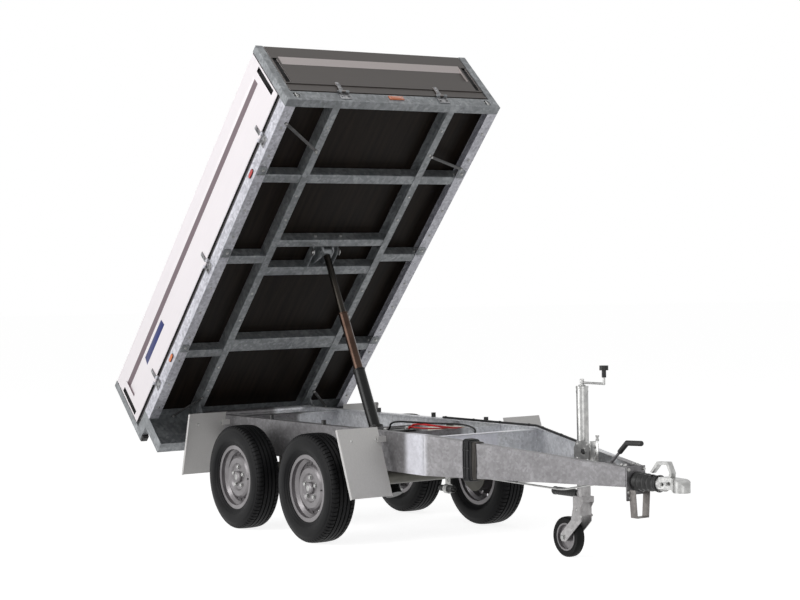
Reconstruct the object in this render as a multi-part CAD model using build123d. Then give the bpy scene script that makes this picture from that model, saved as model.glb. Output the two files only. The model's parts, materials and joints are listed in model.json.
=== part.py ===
from build123d import *
from math import cos, sin, pi, radians
import os

# Rear tipper trailer with hinged drop sides and a telescopic ram.
# Axes while building: X forward to the coupling, Y to the trailer's left, Z up.
# X = 0 is midway between the two axles, Y = 0 the middle plane, Z = 0 the ground.

# Wheels and axles
TYRE_R = 297.0
TYRE_W = 165.0
RIM_FLANGE_R = 182.5
RIM_SEAT_R = 165.0
RIM_HALF_W = 60.0
AXLE_SPACING = 791.0
TRACK = 1138.0
TORSION_TUBE_R = 42.0
TORSION_TUBE_Z = 340.0
ARM_LENGTH = 150.0
SPINDLE_R = 17.5
DRUM_R = 100.0

# Chassis
FRAME_W = 777.0
FRAME_TOP = 614.0
FRAME_BOTTOM = 406.0
FRAME_REAR = -1272.0
BEND_X = 1167.0
DRAWBAR_X = 2356.0
DRAWBAR_HALF = 60.0
DRAWBAR_TOP = 511.0
DRAWBAR_BOTTOM = 418.0
BEAM_FLANGE = 50.0
BEAM_WALL = 4.0

# Tipping bed, in its own length u, width y and height n
BED_LENGTH = 2687.0
BED_WIDTH = 1423.0
BED_HEIGHT = 467.0
BED_BEAM = 72.0
MEMBER_HALF = 30.0
FLOOR_THICK = 15.0
BOARD_THICK = 25.0
POST = 45.0
REAR_BEAM_U = 115.0
REAR_BEAM_DEEP = 75.0
REAR_BEAM_DROP = 209.0
LONG_BEAM_Y = 407.5
TIP_ANGLE = 46.256
BED_UNDER_Z = 645.0
PIVOT_X = -1232.0
PIVOT_Z = 595.0
PIVOT_U = 245.8
PIVOT_R = 24.0
HINGE_OUT = 9.0
HINGE_R = 8.0
SIDE_HINGE_N = 84.0
FRONT_HINGE_N = 76.0
GATE_U = 15.5
GATE_N = BED_HEIGHT - 15
INSET_DEPTH = 12.0
INSET_LOW = 245.0
INSET_HIGH = 326.0
LATCH_LOW = 152.0
LATCH_HIGH = 362.0

# Telescopic ram
TRUNNION_X = 158.0
TRUNNION_Z = 500.0
TRUNNION_R = 20.0
BARREL_R = 45.0
STAGE_1_R = 34.0
STAGE_2_R = 27.0
ROD_R_TOP = 20.0
RAM_PIN_U = 1555.0
RAM_PIN_N = 13.0
RAM_EYE_R = 25.0
RAM_GAP = 0.3
STAGE_TRAVEL = 349.0

# Jockey wheel
JOCKEY_X = 1836.0
JOCKEY_IN = 84.166947
JOCKEY_TRAIL = 126.0
JOCKEY_WHEEL_R = 102.5
JOCKEY_TUBE_R = 30.0
JOCKEY_TOP = 869.0

SEAT = 0.3
RUNNING = 0.1


# Helpers
def box(x0, x1, y0, y1, z0, z1):
    """Box between six named sides."""
    middle = Pos((x0 + x1) / 2, (y0 + y1) / 2, (z0 + z1) / 2)
    return middle * Box(abs(x1 - x0), abs(y1 - y0), abs(z1 - z0))


def rod_y(x, z, radius, y0, y1):
    """Round bar lying across the trailer."""
    return Pos(x, (y0 + y1) / 2, z) * Rot(90, 0, 0) * Cylinder(radius, abs(y1 - y0))


def rod_x(y, z, radius, x0, x1):
    """Round bar lying along the trailer."""
    return Pos((x0 + x1) / 2, y, z) * Rot(0, 90, 0) * Cylinder(radius, abs(x1 - x0))


def rod_z(x, y, radius, z0, z1):
    """Upright round bar."""
    return Pos(x, y, (z0 + z1) / 2) * Cylinder(radius, abs(z1 - z0))


def rod_between(start, end, radius):
    """Round bar from one point to another."""
    axis = Vector(*end) - Vector(*start)
    foot = Plane(origin=start, z_dir=axis)
    return foot.location * Cylinder(radius, axis.length, align=(Align.CENTER, Align.CENTER, Align.MIN))


def plate(points, y0, y1):
    """Plate drawn in side view and as thick as from y0 to y1."""
    face = make_face(Polyline(*points, close=True))
    stand = Plane(origin=(0, y1, 0), x_dir=(1, 0, 0), z_dir=(0, -1, 0))
    return extrude(stand * face, amount=y1 - y0)


def level_plate(points, z0, z1):
    """Plate drawn in plan and as thick as from z0 to z1."""
    face = make_face(Polyline(*points, close=True))
    return extrude(Plane.XY.offset(z0) * face, amount=z1 - z0)


def both_sides(shape):
    """The shape and its mirror image over the middle plane, as two solids."""
    return [shape, mirror(shape, about=Plane.XZ)]


def turned_y(points):
    """Solid of revolution about Y from points of radius and y."""
    face = make_face(Polyline(*points, close=True))
    return revolve(face, Axis.Y, 360)


TIP_COS = cos(radians(TIP_ANGLE))
TIP_SIN = sin(radians(TIP_ANGLE))
PIVOT_N = PIVOT_Z - BED_UNDER_Z
BED_X = PIVOT_X - PIVOT_U * TIP_COS + PIVOT_N * TIP_SIN
BED_Z = PIVOT_Z - PIVOT_U * TIP_SIN - PIVOT_N * TIP_COS
BED_PLACE = Pos(BED_X, 0, BED_Z) * Rot(0, -TIP_ANGLE, 0)


def bed_point(u, y, n):
    """World place of a point of the raised bed."""
    return (BED_X + u * TIP_COS - n * TIP_SIN, y, BED_Z + u * TIP_SIN + n * TIP_COS)


NODES = {}


def keep(name, *shapes):
    """Put solids that stand apart into one node."""
    solids = []
    for shape in shapes:
        solids.extend(shape if isinstance(shape, list) else [shape])
    NODES[name] = Compound(children=solids)


def keep_bed(name, *shapes):
    """Put solids drawn in the bed's own axes into one node of the raised bed."""
    solids = []
    for shape in shapes:
        solids.extend(shape if isinstance(shape, list) else [shape])
    NODES[name] = Compound(children=[BED_PLACE * solid for solid in solids])


# Road wheels
def tyre_ring(radius, width, seat, bead_half, shoulder, bulge_r):
    """Tyre about Y, bulged at its walls and crowned at its tread."""
    half = width / 2
    right = [
        Line((seat, -bead_half), (seat, bead_half)),
        Line((seat, bead_half), (seat + 19, bead_half)),
        ThreePointArc((seat + 19, bead_half), (bulge_r, half), (radius - 17, half - 9)),
        ThreePointArc((radius - 17, half - 9), (radius - 7, shoulder + 7), (radius - 2, shoulder)),
        ThreePointArc((radius - 2, shoulder), (radius, 0), (radius - 2, -shoulder)),
        ThreePointArc((radius - 2, -shoulder), (radius - 7, -shoulder - 7), (radius - 17, 9 - half)),
        ThreePointArc((radius - 17, 9 - half), (bulge_r, -half), (seat + 19, -bead_half)),
        Line((seat + 19, -bead_half), (seat, -bead_half)),
    ]
    return revolve(make_face(Curve() + right), Axis.Y, 360)


def wheel_rim():
    """Pressed steel rim with its hub and drum, outer side to +Y."""
    half = RIM_HALF_W
    wall_r = RIM_SEAT_R - 4
    web_r = RIM_SEAT_R - 17
    barrel = turned_y([
        (RIM_FLANGE_R, -half), (RIM_FLANGE_R, 3 - half), (RIM_SEAT_R, 3 - half), (RIM_SEAT_R, half - 3),
        (RIM_FLANGE_R, half - 3), (RIM_FLANGE_R, half), (wall_r, half), (wall_r, 38), (wall_r - 17, 22),
        (wall_r - 17, -26), (wall_r, -40), (wall_r, -half),
    ])
    disc = turned_y([
        (0, 34), (72, 34), (80, 42), (108, 42), (118, 34), (128, 22), (web_r, 15),
        (web_r, 10), (126, 16), (115, 30), (106, 38), (82, 38), (74, 30), (0, 30),
    ])
    drum = turned_y([(0, 24), (DRUM_R, 24), (DRUM_R, -68), (DRUM_R - 10, -68), (DRUM_R - 10, 14), (0, 14)])
    hub = turned_y([(0, -62), (34, -62), (34, 44), (30, 51), (20, 54), (0, 54)])
    pad = turned_y([(0, 20), (72, 20), (72, 34), (0, 34)])
    rim = barrel + disc + drum + hub + pad
    for step in range(16):
        turn = 2 * pi * step / 16
        x = (web_r - 17) * cos(turn)
        z = (web_r - 17) * sin(turn)
        rim -= rod_y(x, z, 8, 0, 45)
    return rim - rod_y(0, 0, SPINDLE_R + RUNNING, -70, 25)


WHEEL_Y = TRACK / 2
TYRE = tyre_ring(TYRE_R, TYRE_W, RIM_SEAT_R + SEAT, RIM_HALF_W - 3 - SEAT, TYRE_W / 2 - 26.5, RIM_SEAT_R + 68)
RIM = wheel_rim()
CORNERS = (
    ("front_right", 1, -1),
    ("front_left", 1, 1),
    ("rear_right", -1, -1),
    ("rear_left", -1, 1),
)
for corner, fore, side in CORNERS:
    turn_out = Rot(0, 0, 0) if side > 0 else Rot(0, 0, 180)
    centre = Pos(fore * AXLE_SPACING / 2, side * WHEEL_Y, TYRE_R) * turn_out
    keep(f"wheel_{corner}_tyre", centre * TYRE)
    keep(f"wheel_{corner}_rim", centre * RIM)


# Torsion axles
def torsion_axle(wheel_x):
    """Cross tube with trailing arms, brake back plates and spindles."""
    tube_x = wheel_x + ARM_LENGTH
    axle = rod_y(tube_x, TORSION_TUBE_Z, TORSION_TUBE_R, 99 - WHEEL_Y, WHEEL_Y - 99)
    for side in (-1, 1):
        near = side * (WHEEL_Y - 129)
        far = side * (WHEEL_Y - 94)
        arm = plate(
            [
                (tube_x + 34, TORSION_TUBE_Z + 22), (tube_x + 34, TORSION_TUBE_Z - 26), (tube_x, TORSION_TUBE_Z - TORSION_TUBE_R),
                (wheel_x, TYRE_R - 34), (wheel_x - 32, TYRE_R - 12), (wheel_x - 32, TYRE_R + 14),
                (wheel_x, TYRE_R + 34), (tube_x, TORSION_TUBE_Z + TORSION_TUBE_R),
            ],
            min(near, far),
            max(near, far),
        )
        saddle_in = side * (FRAME_W / 2 - 43.5)
        saddle_out = side * (FRAME_W / 2 - 2.5)
        saddle = box(tube_x - 60, tube_x + 60, saddle_in, saddle_out, TORSION_TUBE_Z, FRAME_BOTTOM - SEAT)
        boss = rod_y(wheel_x, TYRE_R, 34, side * (WHEEL_Y - 99), side * (WHEEL_Y - 75))
        back_plate = rod_y(wheel_x, TYRE_R, DRUM_R + 4, side * (WHEEL_Y - 78), side * (WHEEL_Y - 74))
        spindle = rod_y(wheel_x, TYRE_R, SPINDLE_R, side * (WHEEL_Y - 79), side * (WHEEL_Y + 19))
        axle = axle + arm + saddle + boss + back_plate + spindle
    return axle


keep("axles", torsion_axle(AXLE_SPACING / 2), torsion_axle(-AXLE_SPACING / 2))


# Chassis beams
def section_face(x, outer, top, bottom, flange):
    """Channel section open toward the middle, in the plane at x."""
    wall = BEAM_WALL
    points = [
        (x, outer, bottom), (x, outer, top), (x, outer - flange, top), (x, outer - flange, top - wall),
        (x, outer - wall, top - wall), (x, outer - wall, bottom + wall),
        (x, outer - flange, bottom + wall), (x, outer - flange, bottom),
    ]
    return make_face(Polyline(*points, close=True))


FRAME_HALF = FRAME_W / 2
straight_end = section_face(BEND_X, FRAME_HALF, FRAME_TOP, FRAME_BOTTOM, BEAM_FLANGE)
drawbar_end = section_face(DRAWBAR_X, DRAWBAR_HALF, DRAWBAR_TOP, DRAWBAR_BOTTOM, 40)
straight = Pos(FRAME_REAR, 0, 0) * extrude(Pos(-BEND_X, 0, 0) * straight_end, amount=BEND_X - FRAME_REAR, dir=(1, 0, 0))
side_view = plate(
    [
        (FRAME_REAR, FRAME_TOP), (BEND_X, FRAME_TOP), (BEND_X, FRAME_BOTTOM),
        (FRAME_REAR + 172, FRAME_BOTTOM), (FRAME_REAR, FRAME_TOP - 39),
    ],
    FRAME_HALF - BEAM_FLANGE - 5,
    FRAME_HALF + 5,
)
straight = straight & side_view
beam = straight + loft([straight_end, drawbar_end], ruled=True)
beam -= rod_y(PIVOT_X, PIVOT_Z, PIVOT_R + SEAT, FRAME_HALF - 88.5, FRAME_HALF + 31.5)
keep("chassis_beams", both_sides(beam))

INNER = FRAME_HALF - BEAM_WALL - SEAT


def channel_across(x, z0, z1, reach, depth=40):
    """Cross member of channel section, open to the front."""
    outside = box(x - depth / 2, x + depth / 2, -reach, reach, z0, z1)
    return outside - box(x - depth / 2 + 4, x + depth, -reach - 1, reach + 1, z0 + 4, z1 - 4)


pivot_tube = rod_y(PIVOT_X, PIVOT_Z, PIVOT_R, -LONG_BEAM_Y - 8.5, LONG_BEAM_Y + 8.5)
rear_member = channel_across(-900, FRAME_BOTTOM + 14, FRAME_TOP - 14, INNER, 60)
bend_member = channel_across(BEND_X - 27, FRAME_BOTTOM + 24, FRAME_TOP - 14, INNER, 50)
keep("chassis_cross_members", pivot_tube, rear_member, bend_member)

# Cradle that carries the ram's trunnions
cradle = channel_across(TRUNNION_X - 120, TRUNNION_Z - 70, TRUNNION_Z + 60, INNER)
cradle += channel_across(TRUNNION_X + 120, TRUNNION_Z - 70, TRUNNION_Z + 60, INNER)
for side in (-1, 1):
    cheek_in = side * (BARREL_R + 20)
    cheek_out = side * (BARREL_R + 40)
    cheek = box(TRUNNION_X - 118, TRUNNION_X + 104, cheek_in, cheek_out, TRUNNION_Z - 60, TRUNNION_Z + 45)
    cradle += cheek - rod_y(TRUNNION_X, TRUNNION_Z, TRUNNION_R + RUNNING, side * (BARREL_R + 15), side * (BARREL_R + 45))
keep("ram_cradle", cradle)


# Mudguards, each a plain plate with a side flange and a bracket to the beam
def mudguard(top, bottom, outward):
    """One plate from its top point to its bottom point in side view."""
    lean = Vector(bottom[0] - top[0], bottom[1] - top[1])
    normal = Vector(-lean.Y, lean.X).normalized() * outward
    thick = normal * 3
    fold = normal * 18
    top_in = (top[0] + thick.X, top[1] + thick.Y)
    bottom_in = (bottom[0] + thick.X, bottom[1] + thick.Y)
    top_fold = (top[0] + fold.X, top[1] + fold.Y)
    bottom_fold = (bottom[0] + fold.X, bottom[1] + fold.Y)
    outer = WHEEL_Y + 102
    sheet = plate([top, bottom, bottom_in, top_in], WHEEL_Y - 151, outer)
    flange = plate([top, bottom, bottom_fold, top_fold], outer - 3, outer)
    return sheet + flange


TYRE_FRONT = AXLE_SPACING / 2 + TYRE_R
front_guard = mudguard((TYRE_FRONT + 86.5, 638), (TYRE_FRONT + 220.5, 285), -1)
front_guard += box(
    TYRE_FRONT + 97.5, TYRE_FRONT + 125.5, FRAME_HALF + SEAT, WHEEL_Y - 129, FRAME_TOP - 54, FRAME_TOP - 24
)
rear_guard = mudguard((-TYRE_FRONT - 175.5, 638), (-TYRE_FRONT - 281.5, 271), 1)
rear_guard += box(
    -TYRE_FRONT - 212.5, -TYRE_FRONT - 179.5, FRAME_HALF + SEAT, WHEEL_Y - 129, FRAME_TOP - 54, FRAME_TOP - 24
)
keep("mudguards", both_sides(front_guard), both_sides(rear_guard))

# Rubber buffers the lowered bed rests near
buffers = []
for x in (-400, TRUNNION_X + 14, 680):
    pad = rod_z(x, FRAME_HALF - 14.5, 13, FRAME_TOP, BED_UNDER_Z - 5)
    buffers.extend(both_sides(pad))
keep("rubber_buffers", buffers)

# Power pack in its open tray
tray = box(400, 800, -300, 300, 412, 416)
tray += box(400, 404, -INNER, INNER, 450, 600) + box(796, 800, -INNER, INNER, 450, 600)
tray += box(400, 404, -300, 300, 412, 460) + box(796, 800, -300, 300, 412, 460)
tray += box(400, 800, -300, -296, 412, 520) + box(400, 800, 296, 300, 412, 520)
keep("power_pack_tray", tray)
keep("battery", box(430, 620, -270, -60, 416 + SEAT, 590))
tank = box(500, 640, 95, 263, 416 + SEAT, 592)
tank = fillet(tank.edges().filter_by(Axis.Z), 14)
tank += rod_z(535, 230, 20, 590, 606)
keep("oil_tank", tank)
pump = box(640 + SEAT, 700, 100, 250, 416 + SEAT, 560)
pump += rod_x(175, 492, 55, 690, 785)
pump += rod_x(175, 556, 20, 690, 770)
keep("power_pack", pump)

# Brake rod, bent in one upright plane from the rear axle to the drawbar head
ROD_R = 5.0
ROD_FOOT_X = ARM_LENGTH - AXLE_SPACING / 2 - 4.5
ROD_START = Vector(ROD_FOOT_X, -100, TORSION_TUBE_Z + TORSION_TUBE_R + 13)
ROD_END = Vector(DRAWBAR_X - 181.3, 0, 425)


def rod_point(x, z):
    """Point of the brake rod's plane at x and z."""
    share = (x - ROD_START.X) / (ROD_END.X - ROD_START.X)
    return (x, ROD_START.Y + share * (ROD_END.Y - ROD_START.Y), z)


rod_route = [rod_point(*point) for point in (
    (ROD_START.X, ROD_START.Z), (620, ROD_START.Z), (920, 380), (1830, 360), (ROD_END.X, ROD_END.Z)
)]
rod_path = FilletPolyline(*rod_route, radius=400)
rod_foot = Plane(origin=rod_path @ 0, z_dir=rod_path % 0)
brake_rod = sweep(rod_foot * Circle(ROD_R), path=rod_path)
rod_low = TORSION_TUBE_Z + TORSION_TUBE_R + SEAT
brake_rod += box(ROD_FOOT_X - 12, ROD_FOOT_X + 12, -108, -92, rod_low, ROD_START.Z + 6)
keep("brake_rod", brake_rod)

# Drawbar head with the overrun tube and the handbrake's seat
SHAFT_Z = 444.0
PLATE_X = DRAWBAR_X + 8
seat_x = DRAWBAR_X - 206
head = box(DRAWBAR_X + SEAT, PLATE_X, 2 - DRAWBAR_HALF, DRAWBAR_HALF - 2, 380, DRAWBAR_TOP + 4)
head += box(DRAWBAR_X + SEAT, PLATE_X, 2 - DRAWBAR_HALF, 34 - DRAWBAR_HALF, 352, 381)
head += rod_x(0, SHAFT_Z, 28, DRAWBAR_X - 176, PLATE_X + 2)
head += plate(
    [(seat_x, SHAFT_Z), (seat_x + 90, SHAFT_Z), (seat_x + 90, 480), (seat_x + 50, 520), (seat_x, 520)], -8, 8
)
head += rod_between((seat_x + 23, 0, 508), (seat_x + 99, 0, 573.5), 7)
keep("drawbar_head", head)
elbow_x = seat_x + 153
grip = rod_between((seat_x + 99.3, 0, 573.7), (elbow_x, 0, 620), 13)
grip += Pos(elbow_x, 0, 620) * Sphere(13)
grip += rod_between((elbow_x, 0, 620), (elbow_x + 100, 0, 624), 13)
grip += Pos(elbow_x + 100, 0, 624) * Sphere(13)
keep("handbrake_grip", grip)

# Strap foot under the head
foot_x = PLATE_X + SEAT
foot = plate([(foot_x, 272), (PLATE_X + 46, 272), (PLATE_X + 46, 276), (foot_x, 276)], -37, 37)
for side in (-1, 1):
    leg = make_face(Polyline(
        (foot_x, side * 33, 272), (foot_x, side * 37, 272), (foot_x, side * 47, 405),
        (foot_x, side * 43, 405), close=True,
    ))
    foot += extrude(leg, amount=45.7, dir=(1, 0, 0))
keep("coupling_foot", foot)

# Bellows over the overrun shaft
bellows_x = PLATE_X + 3
bellows_end = bellows_x + 167
ribs = []
rib_count = 5
rib_pitch = 32
profile = [(bellows_x, 22.4), (bellows_x, 44)]
for rib in range(rib_count):
    left = bellows_x + 4 + rib * rib_pitch
    profile.extend([(left, 34), (left + 8, 46 - rib * 2), (left + 16, 46 - rib * 2), (left + 26, 33)])
profile.extend([(bellows_end, 38), (bellows_end, 22.4)])
bellows_face = make_face(Polyline(*[(x, r) for x, r in profile], close=True))
keep("bellows", Pos(0, 0, SHAFT_Z) * Rot(90, 0, 0) * revolve(bellows_face, Axis.X, 360))

# Ball coupling head
SOCKET_X = DRAWBAR_X + 325
cup_x = SOCKET_X - 125
coupling = rod_x(0, SHAFT_Z, 22, PLATE_X + 2 + SEAT, cup_x + 4)
coupling += rod_x(0, SHAFT_Z, 34, bellows_end + SEAT, cup_x + 16)
cup_outline = [
    (cup_x, -32), (cup_x + 84, -25), (cup_x + 134, -27), (cup_x + 134, 27), (cup_x + 84, 25), (cup_x, 32),
]
cup = level_plate(cup_outline, 410, 482)
cup += rod_z(SOCKET_X, 0, 40, 410, 482)
cup_side = plate(
    [
        (cup_x, 424), (cup_x + 80, 424), (cup_x + 87, 414), (cup_x + 166, 414), (cup_x + 162, 446),
        (cup_x + 148, 464), (cup_x + 120, 474), (cup_x + 84, 479), (cup_x, 479),
    ],
    -45,
    45,
)
coupling += cup & cup_side
coupling -= rod_z(SOCKET_X, 0, 25.5, 400, 450)
coupling += plate(
    [
        (cup_x - 78, 496), (cup_x - 66, 492), (cup_x - 24, 534), (cup_x + 36, 537), (cup_x + 56, 500),
        (cup_x + 44, 470), (cup_x + 64, 470), (cup_x + 72, 500), (cup_x + 44, 552), (cup_x - 30, 549),
    ],
    -14,
    14,
)
keep("coupling_head", coupling)

# Jockey wheel, set off the inner face of the left drawbar beam
SLOPE = (FRAME_HALF - DRAWBAR_HALF) / (DRAWBAR_X - BEND_X)


def web_inner(x):
    """Inner face of the left drawbar beam's web at x, less the seat."""
    return FRAME_HALF - (x - BEND_X) * SLOPE - BEAM_WALL - SEAT - 0.2


JOCKEY_Y = web_inner(JOCKEY_X) - JOCKEY_IN




def wrap_face(x, grow):
    """Outline of the right drawbar beam at x, made larger all round."""
    share = (x - BEND_X) / (DRAWBAR_X - BEND_X)
    outer = -FRAME_HALF - share * (DRAWBAR_HALF - FRAME_HALF)
    top = FRAME_TOP + share * (DRAWBAR_TOP - FRAME_TOP)
    bottom = FRAME_BOTTOM + share * (DRAWBAR_BOTTOM - FRAME_BOTTOM)
    flange = BEAM_FLANGE + share * (40 - BEAM_FLANGE)
    y0 = outer - grow
    y1 = outer + flange + grow
    low = bottom - grow
    high = top + grow
    return make_face(Polyline((x, y0, low), (x, y1, low), (x, y1, high), (x, y0, high), close=True))


# Lead wound round the drawbar, its plug in a holder, and the loom on the left beam
WIND_X = 1442.0
winding = loft([wrap_face(WIND_X - 51, 9), wrap_face(WIND_X + 51, 9)], ruled=True)
winding -= loft([wrap_face(WIND_X - 70, SEAT), wrap_face(WIND_X + 70, SEAT)], ruled=True)
keep("cable_winding", winding)
PLUG_IN = 28.385198
PLUG_Y = PLUG_IN - FRAME_HALF + (1276 - BEND_X) * SLOPE
PLUG_Z = 346.0
plug = rod_x(PLUG_Y, PLUG_Z, 15, 1216, 1262) + rod_x(PLUG_Y, PLUG_Z, 19, 1262, 1339)
keep("trailer_plug", plug)
holder = rod_x(PLUG_Y, PLUG_Z, 25, 1276, 1304) - rod_x(PLUG_Y, PLUG_Z, 19 + SEAT, 1270, 1310)
holder_share = (1276 - BEND_X) / (DRAWBAR_X - BEND_X)
holder_top = FRAME_BOTTOM + holder_share * (DRAWBAR_BOTTOM - FRAME_BOTTOM) - 0.1
holder += box(1276, 1304, PLUG_Y - 6, PLUG_Y + 6, PLUG_Z + 22, holder_top)
keep("plug_holder", holder)
LOOM_R = 6.0
LOOM_IN = 38.0
loom_end = 1790.0
loom_share = (loom_end - BEND_X) / (DRAWBAR_X - BEND_X)
loom_route = [
    (300, FRAME_HALF - LOOM_IN, FRAME_TOP + LOOM_R + SEAT),
    (BEND_X, FRAME_HALF - LOOM_IN, FRAME_TOP + LOOM_R + SEAT),
    (
        loom_end,
        FRAME_HALF - LOOM_IN - loom_share * (FRAME_HALF - DRAWBAR_HALF),
        FRAME_TOP + LOOM_R + SEAT + 0.2 - loom_share * (FRAME_TOP - DRAWBAR_TOP),
    ),
]
loom_path = FilletPolyline(*loom_route, radius=60)
loom_foot = Plane(origin=loom_path @ 0, z_dir=loom_path % 0)
keep("cable_loom", sweep(loom_foot * Circle(LOOM_R), path=loom_path))

stem_top = 440
STEM_R = JOCKEY_TUBE_R - 6
jockey_tube = rod_z(JOCKEY_X, JOCKEY_Y, JOCKEY_TUBE_R, 385, JOCKEY_TOP)
jockey_tube += rod_z(JOCKEY_X, JOCKEY_Y, JOCKEY_TUBE_R + 8, 470, 530)
near_x = JOCKEY_X - JOCKEY_TUBE_R
far_x = JOCKEY_X + JOCKEY_TUBE_R
jockey_tube += level_plate(
    [(near_x, JOCKEY_Y), (far_x, JOCKEY_Y), (far_x, web_inner(far_x)), (near_x, web_inner(near_x))], 470, 530
)
clamp = plate(
    [
        (JOCKEY_X - 28, 500), (JOCKEY_X + 78, 484), (JOCKEY_X + 90, 496), (JOCKEY_X + 90, 586),
        (JOCKEY_X + 60, 602), (JOCKEY_X - 10, 596), (JOCKEY_X - 28, 560),
    ],
    JOCKEY_Y - JOCKEY_TUBE_R - 7,
    JOCKEY_Y - JOCKEY_TUBE_R + 3,
)
jockey_tube += clamp - rod_y(JOCKEY_X + 44, 545, 16, JOCKEY_Y - JOCKEY_TUBE_R - 10, JOCKEY_Y - JOCKEY_TUBE_R + 10)
jockey_tube -= rod_z(JOCKEY_X, JOCKEY_Y, STEM_R + RUNNING, 380, stem_top + 5)
keep("jockey_tube", jockey_tube)

CRANK_Z = 886.0
CRANK_REACH = 170.0
crank = rod_z(JOCKEY_X, JOCKEY_Y, 10, JOCKEY_TOP + SEAT, 899)
crank += rod_x(JOCKEY_Y, CRANK_Z, 6, JOCKEY_X, JOCKEY_X + CRANK_REACH)
crank += Pos(JOCKEY_X + CRANK_REACH, JOCKEY_Y, CRANK_Z) * Sphere(6.5)
crank += rod_z(JOCKEY_X + CRANK_REACH, JOCKEY_Y, 6, CRANK_Z, 917)
keep("jockey_crank", crank)
knob = rod_z(JOCKEY_X + CRANK_REACH, JOCKEY_Y, 11, 917 + SEAT, 953)
knob += rod_z(JOCKEY_X + CRANK_REACH, JOCKEY_Y, 22, 953, 976)
keep("jockey_knob", knob)

wheel_x = JOCKEY_X - JOCKEY_TRAIL
wheel_z = JOCKEY_WHEEL_R
fork = rod_z(JOCKEY_X, JOCKEY_Y, STEM_R, 330, stem_top)
fork += rod_z(JOCKEY_X, JOCKEY_Y, 34, 300, 379)
fork += box(JOCKEY_X - 45, JOCKEY_X + 34, JOCKEY_Y - 36, JOCKEY_Y + 36, 290, 318)
knee_x = JOCKEY_X + 14
fork_outline = [
    (JOCKEY_X - 45, 318), (JOCKEY_X + 34, 318), (JOCKEY_X + 34, 290), (knee_x, 262), (knee_x, 192),
    (wheel_x + 34, wheel_z - 6.5), (wheel_x + 20, wheel_z - 20.5), (wheel_x - 14, wheel_z - 20.5),
    (wheel_x - 24, wheel_z - 6.5), (wheel_x - 20, wheel_z + 17.5),
    (JOCKEY_X - 62, 196), (JOCKEY_X - 45, 262),
]
for side in (-1, 1):
    inner = JOCKEY_Y + side * 31
    outer = JOCKEY_Y + side * 36
    fork += plate(fork_outline, min(inner, outer), max(inner, outer))
fork += box(knee_x - 5, knee_x, JOCKEY_Y - 33, JOCKEY_Y + 33, 222, 290)
fork += box(JOCKEY_X - 45, JOCKEY_X - 40, JOCKEY_Y - 33, JOCKEY_Y + 33, 262, 318)
fork += rod_y(wheel_x, wheel_z, 10, JOCKEY_Y - 36, JOCKEY_Y + 36)
fork += rod_x(JOCKEY_Y, 328, 12, JOCKEY_X - 46 + SEAT, JOCKEY_X - 20)
keep("jockey_fork", fork)
grip_bar = rod_x(JOCKEY_Y, 328, 20, JOCKEY_X - 198, JOCKEY_X - 46)
keep("jockey_grip", fillet(grip_bar.edges().filter_by(GeomType.CIRCLE).sort_by(Axis.X)[0], 14))

jockey_seat = JOCKEY_WHEEL_R - 32.5
wall_r = JOCKEY_WHEEL_R - 8.5
well_r = jockey_seat - 8
jockey_tyre = turned_y([
    (jockey_seat + SEAT, -20), (wall_r, -25), (JOCKEY_WHEEL_R - 2, -18), (JOCKEY_WHEEL_R, -8),
    (JOCKEY_WHEEL_R, 8), (JOCKEY_WHEEL_R - 2, 18), (wall_r, 25), (jockey_seat + SEAT, 20),
])
jockey_rim = turned_y([
    (0, -24), (20, -24), (20, -6), (well_r, -6), (well_r, -22), (jockey_seat, -22), (jockey_seat, 22),
    (well_r, 22), (well_r, 6), (20, 6), (20, 24), (0, 24),
])
jockey_rim -= rod_y(0, 0, 10 + RUNNING, -30, 30)
jockey_centre = Pos(wheel_x, JOCKEY_Y, wheel_z)
keep("jockey_tyre", jockey_centre * jockey_tyre)
keep("jockey_rim", jockey_centre * jockey_rim)

# Bed frame, drawn in u, y and n
BED_HALF = BED_WIDTH / 2
RAIL_START = REAR_BEAM_U + REAR_BEAM_DEEP
FRONT_BEAM_U = BED_LENGTH - 50
HINGE_US = (446, BED_LENGTH / 2 + 66.5, BED_LENGTH - 332)
FRONT_HINGE_YS = (-330, 330)
WALL = 3.0


def hinge_fixed():
    """Fixed hinge half about X with its pin, outward +Y, mounting face at y = -9."""
    leaf = box(-35, 35, -9, -6, -58, -12)
    pin = rod_x(0, 0, 4, -35, 35)
    half = leaf + pin
    for side in (-1, 1):
        ear = box(side * 13, side * 35, -9, -6, -13, 2)
        half += ear + rod_x(0, 0, HINGE_R, side * 13, side * 35)
    return half


def hinge_moving():
    """Moving hinge half about X, outward +Y, mounting face at y = -9."""
    leaf = box(-12, 12, -9, -6, 0, 86)
    knuckle = rod_x(0, 0, HINGE_R, -12, 12)
    return leaf + knuckle - rod_x(0, 0, 4 + RUNNING, -20, 20)


def hinge_place(u, side):
    """Frame of a side hinge in the bed's axes."""
    origin = (u, side * (BED_HALF + HINGE_OUT), SIDE_HINGE_N)
    return Plane(origin=origin, x_dir=(side, 0, 0), z_dir=(0, 0, 1)).location


def front_hinge_place(y):
    """Frame of a front hinge in the bed's axes."""
    origin = (BED_LENGTH + HINGE_OUT, y, FRONT_HINGE_N)
    return Plane(origin=origin, x_dir=(0, -1, 0), z_dir=(0, 0, 1)).location


rails = []
for side in (-1, 1):
    outer = side * BED_HALF
    rail = box(RAIL_START, FRONT_BEAM_U, outer - side * WALL, outer, 0, BED_BEAM)
    rail += box(RAIL_START, FRONT_BEAM_U, outer - side * 65, outer, 0, WALL)
    rail += box(RAIL_START, FRONT_BEAM_U, outer - side * 40, outer, BED_BEAM - WALL, BED_BEAM)
    for u in HINGE_US:
        rail += hinge_place(u, side) * hinge_fixed()
    rails.append(rail)
keep_bed("bed_rails", rails)

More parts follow.
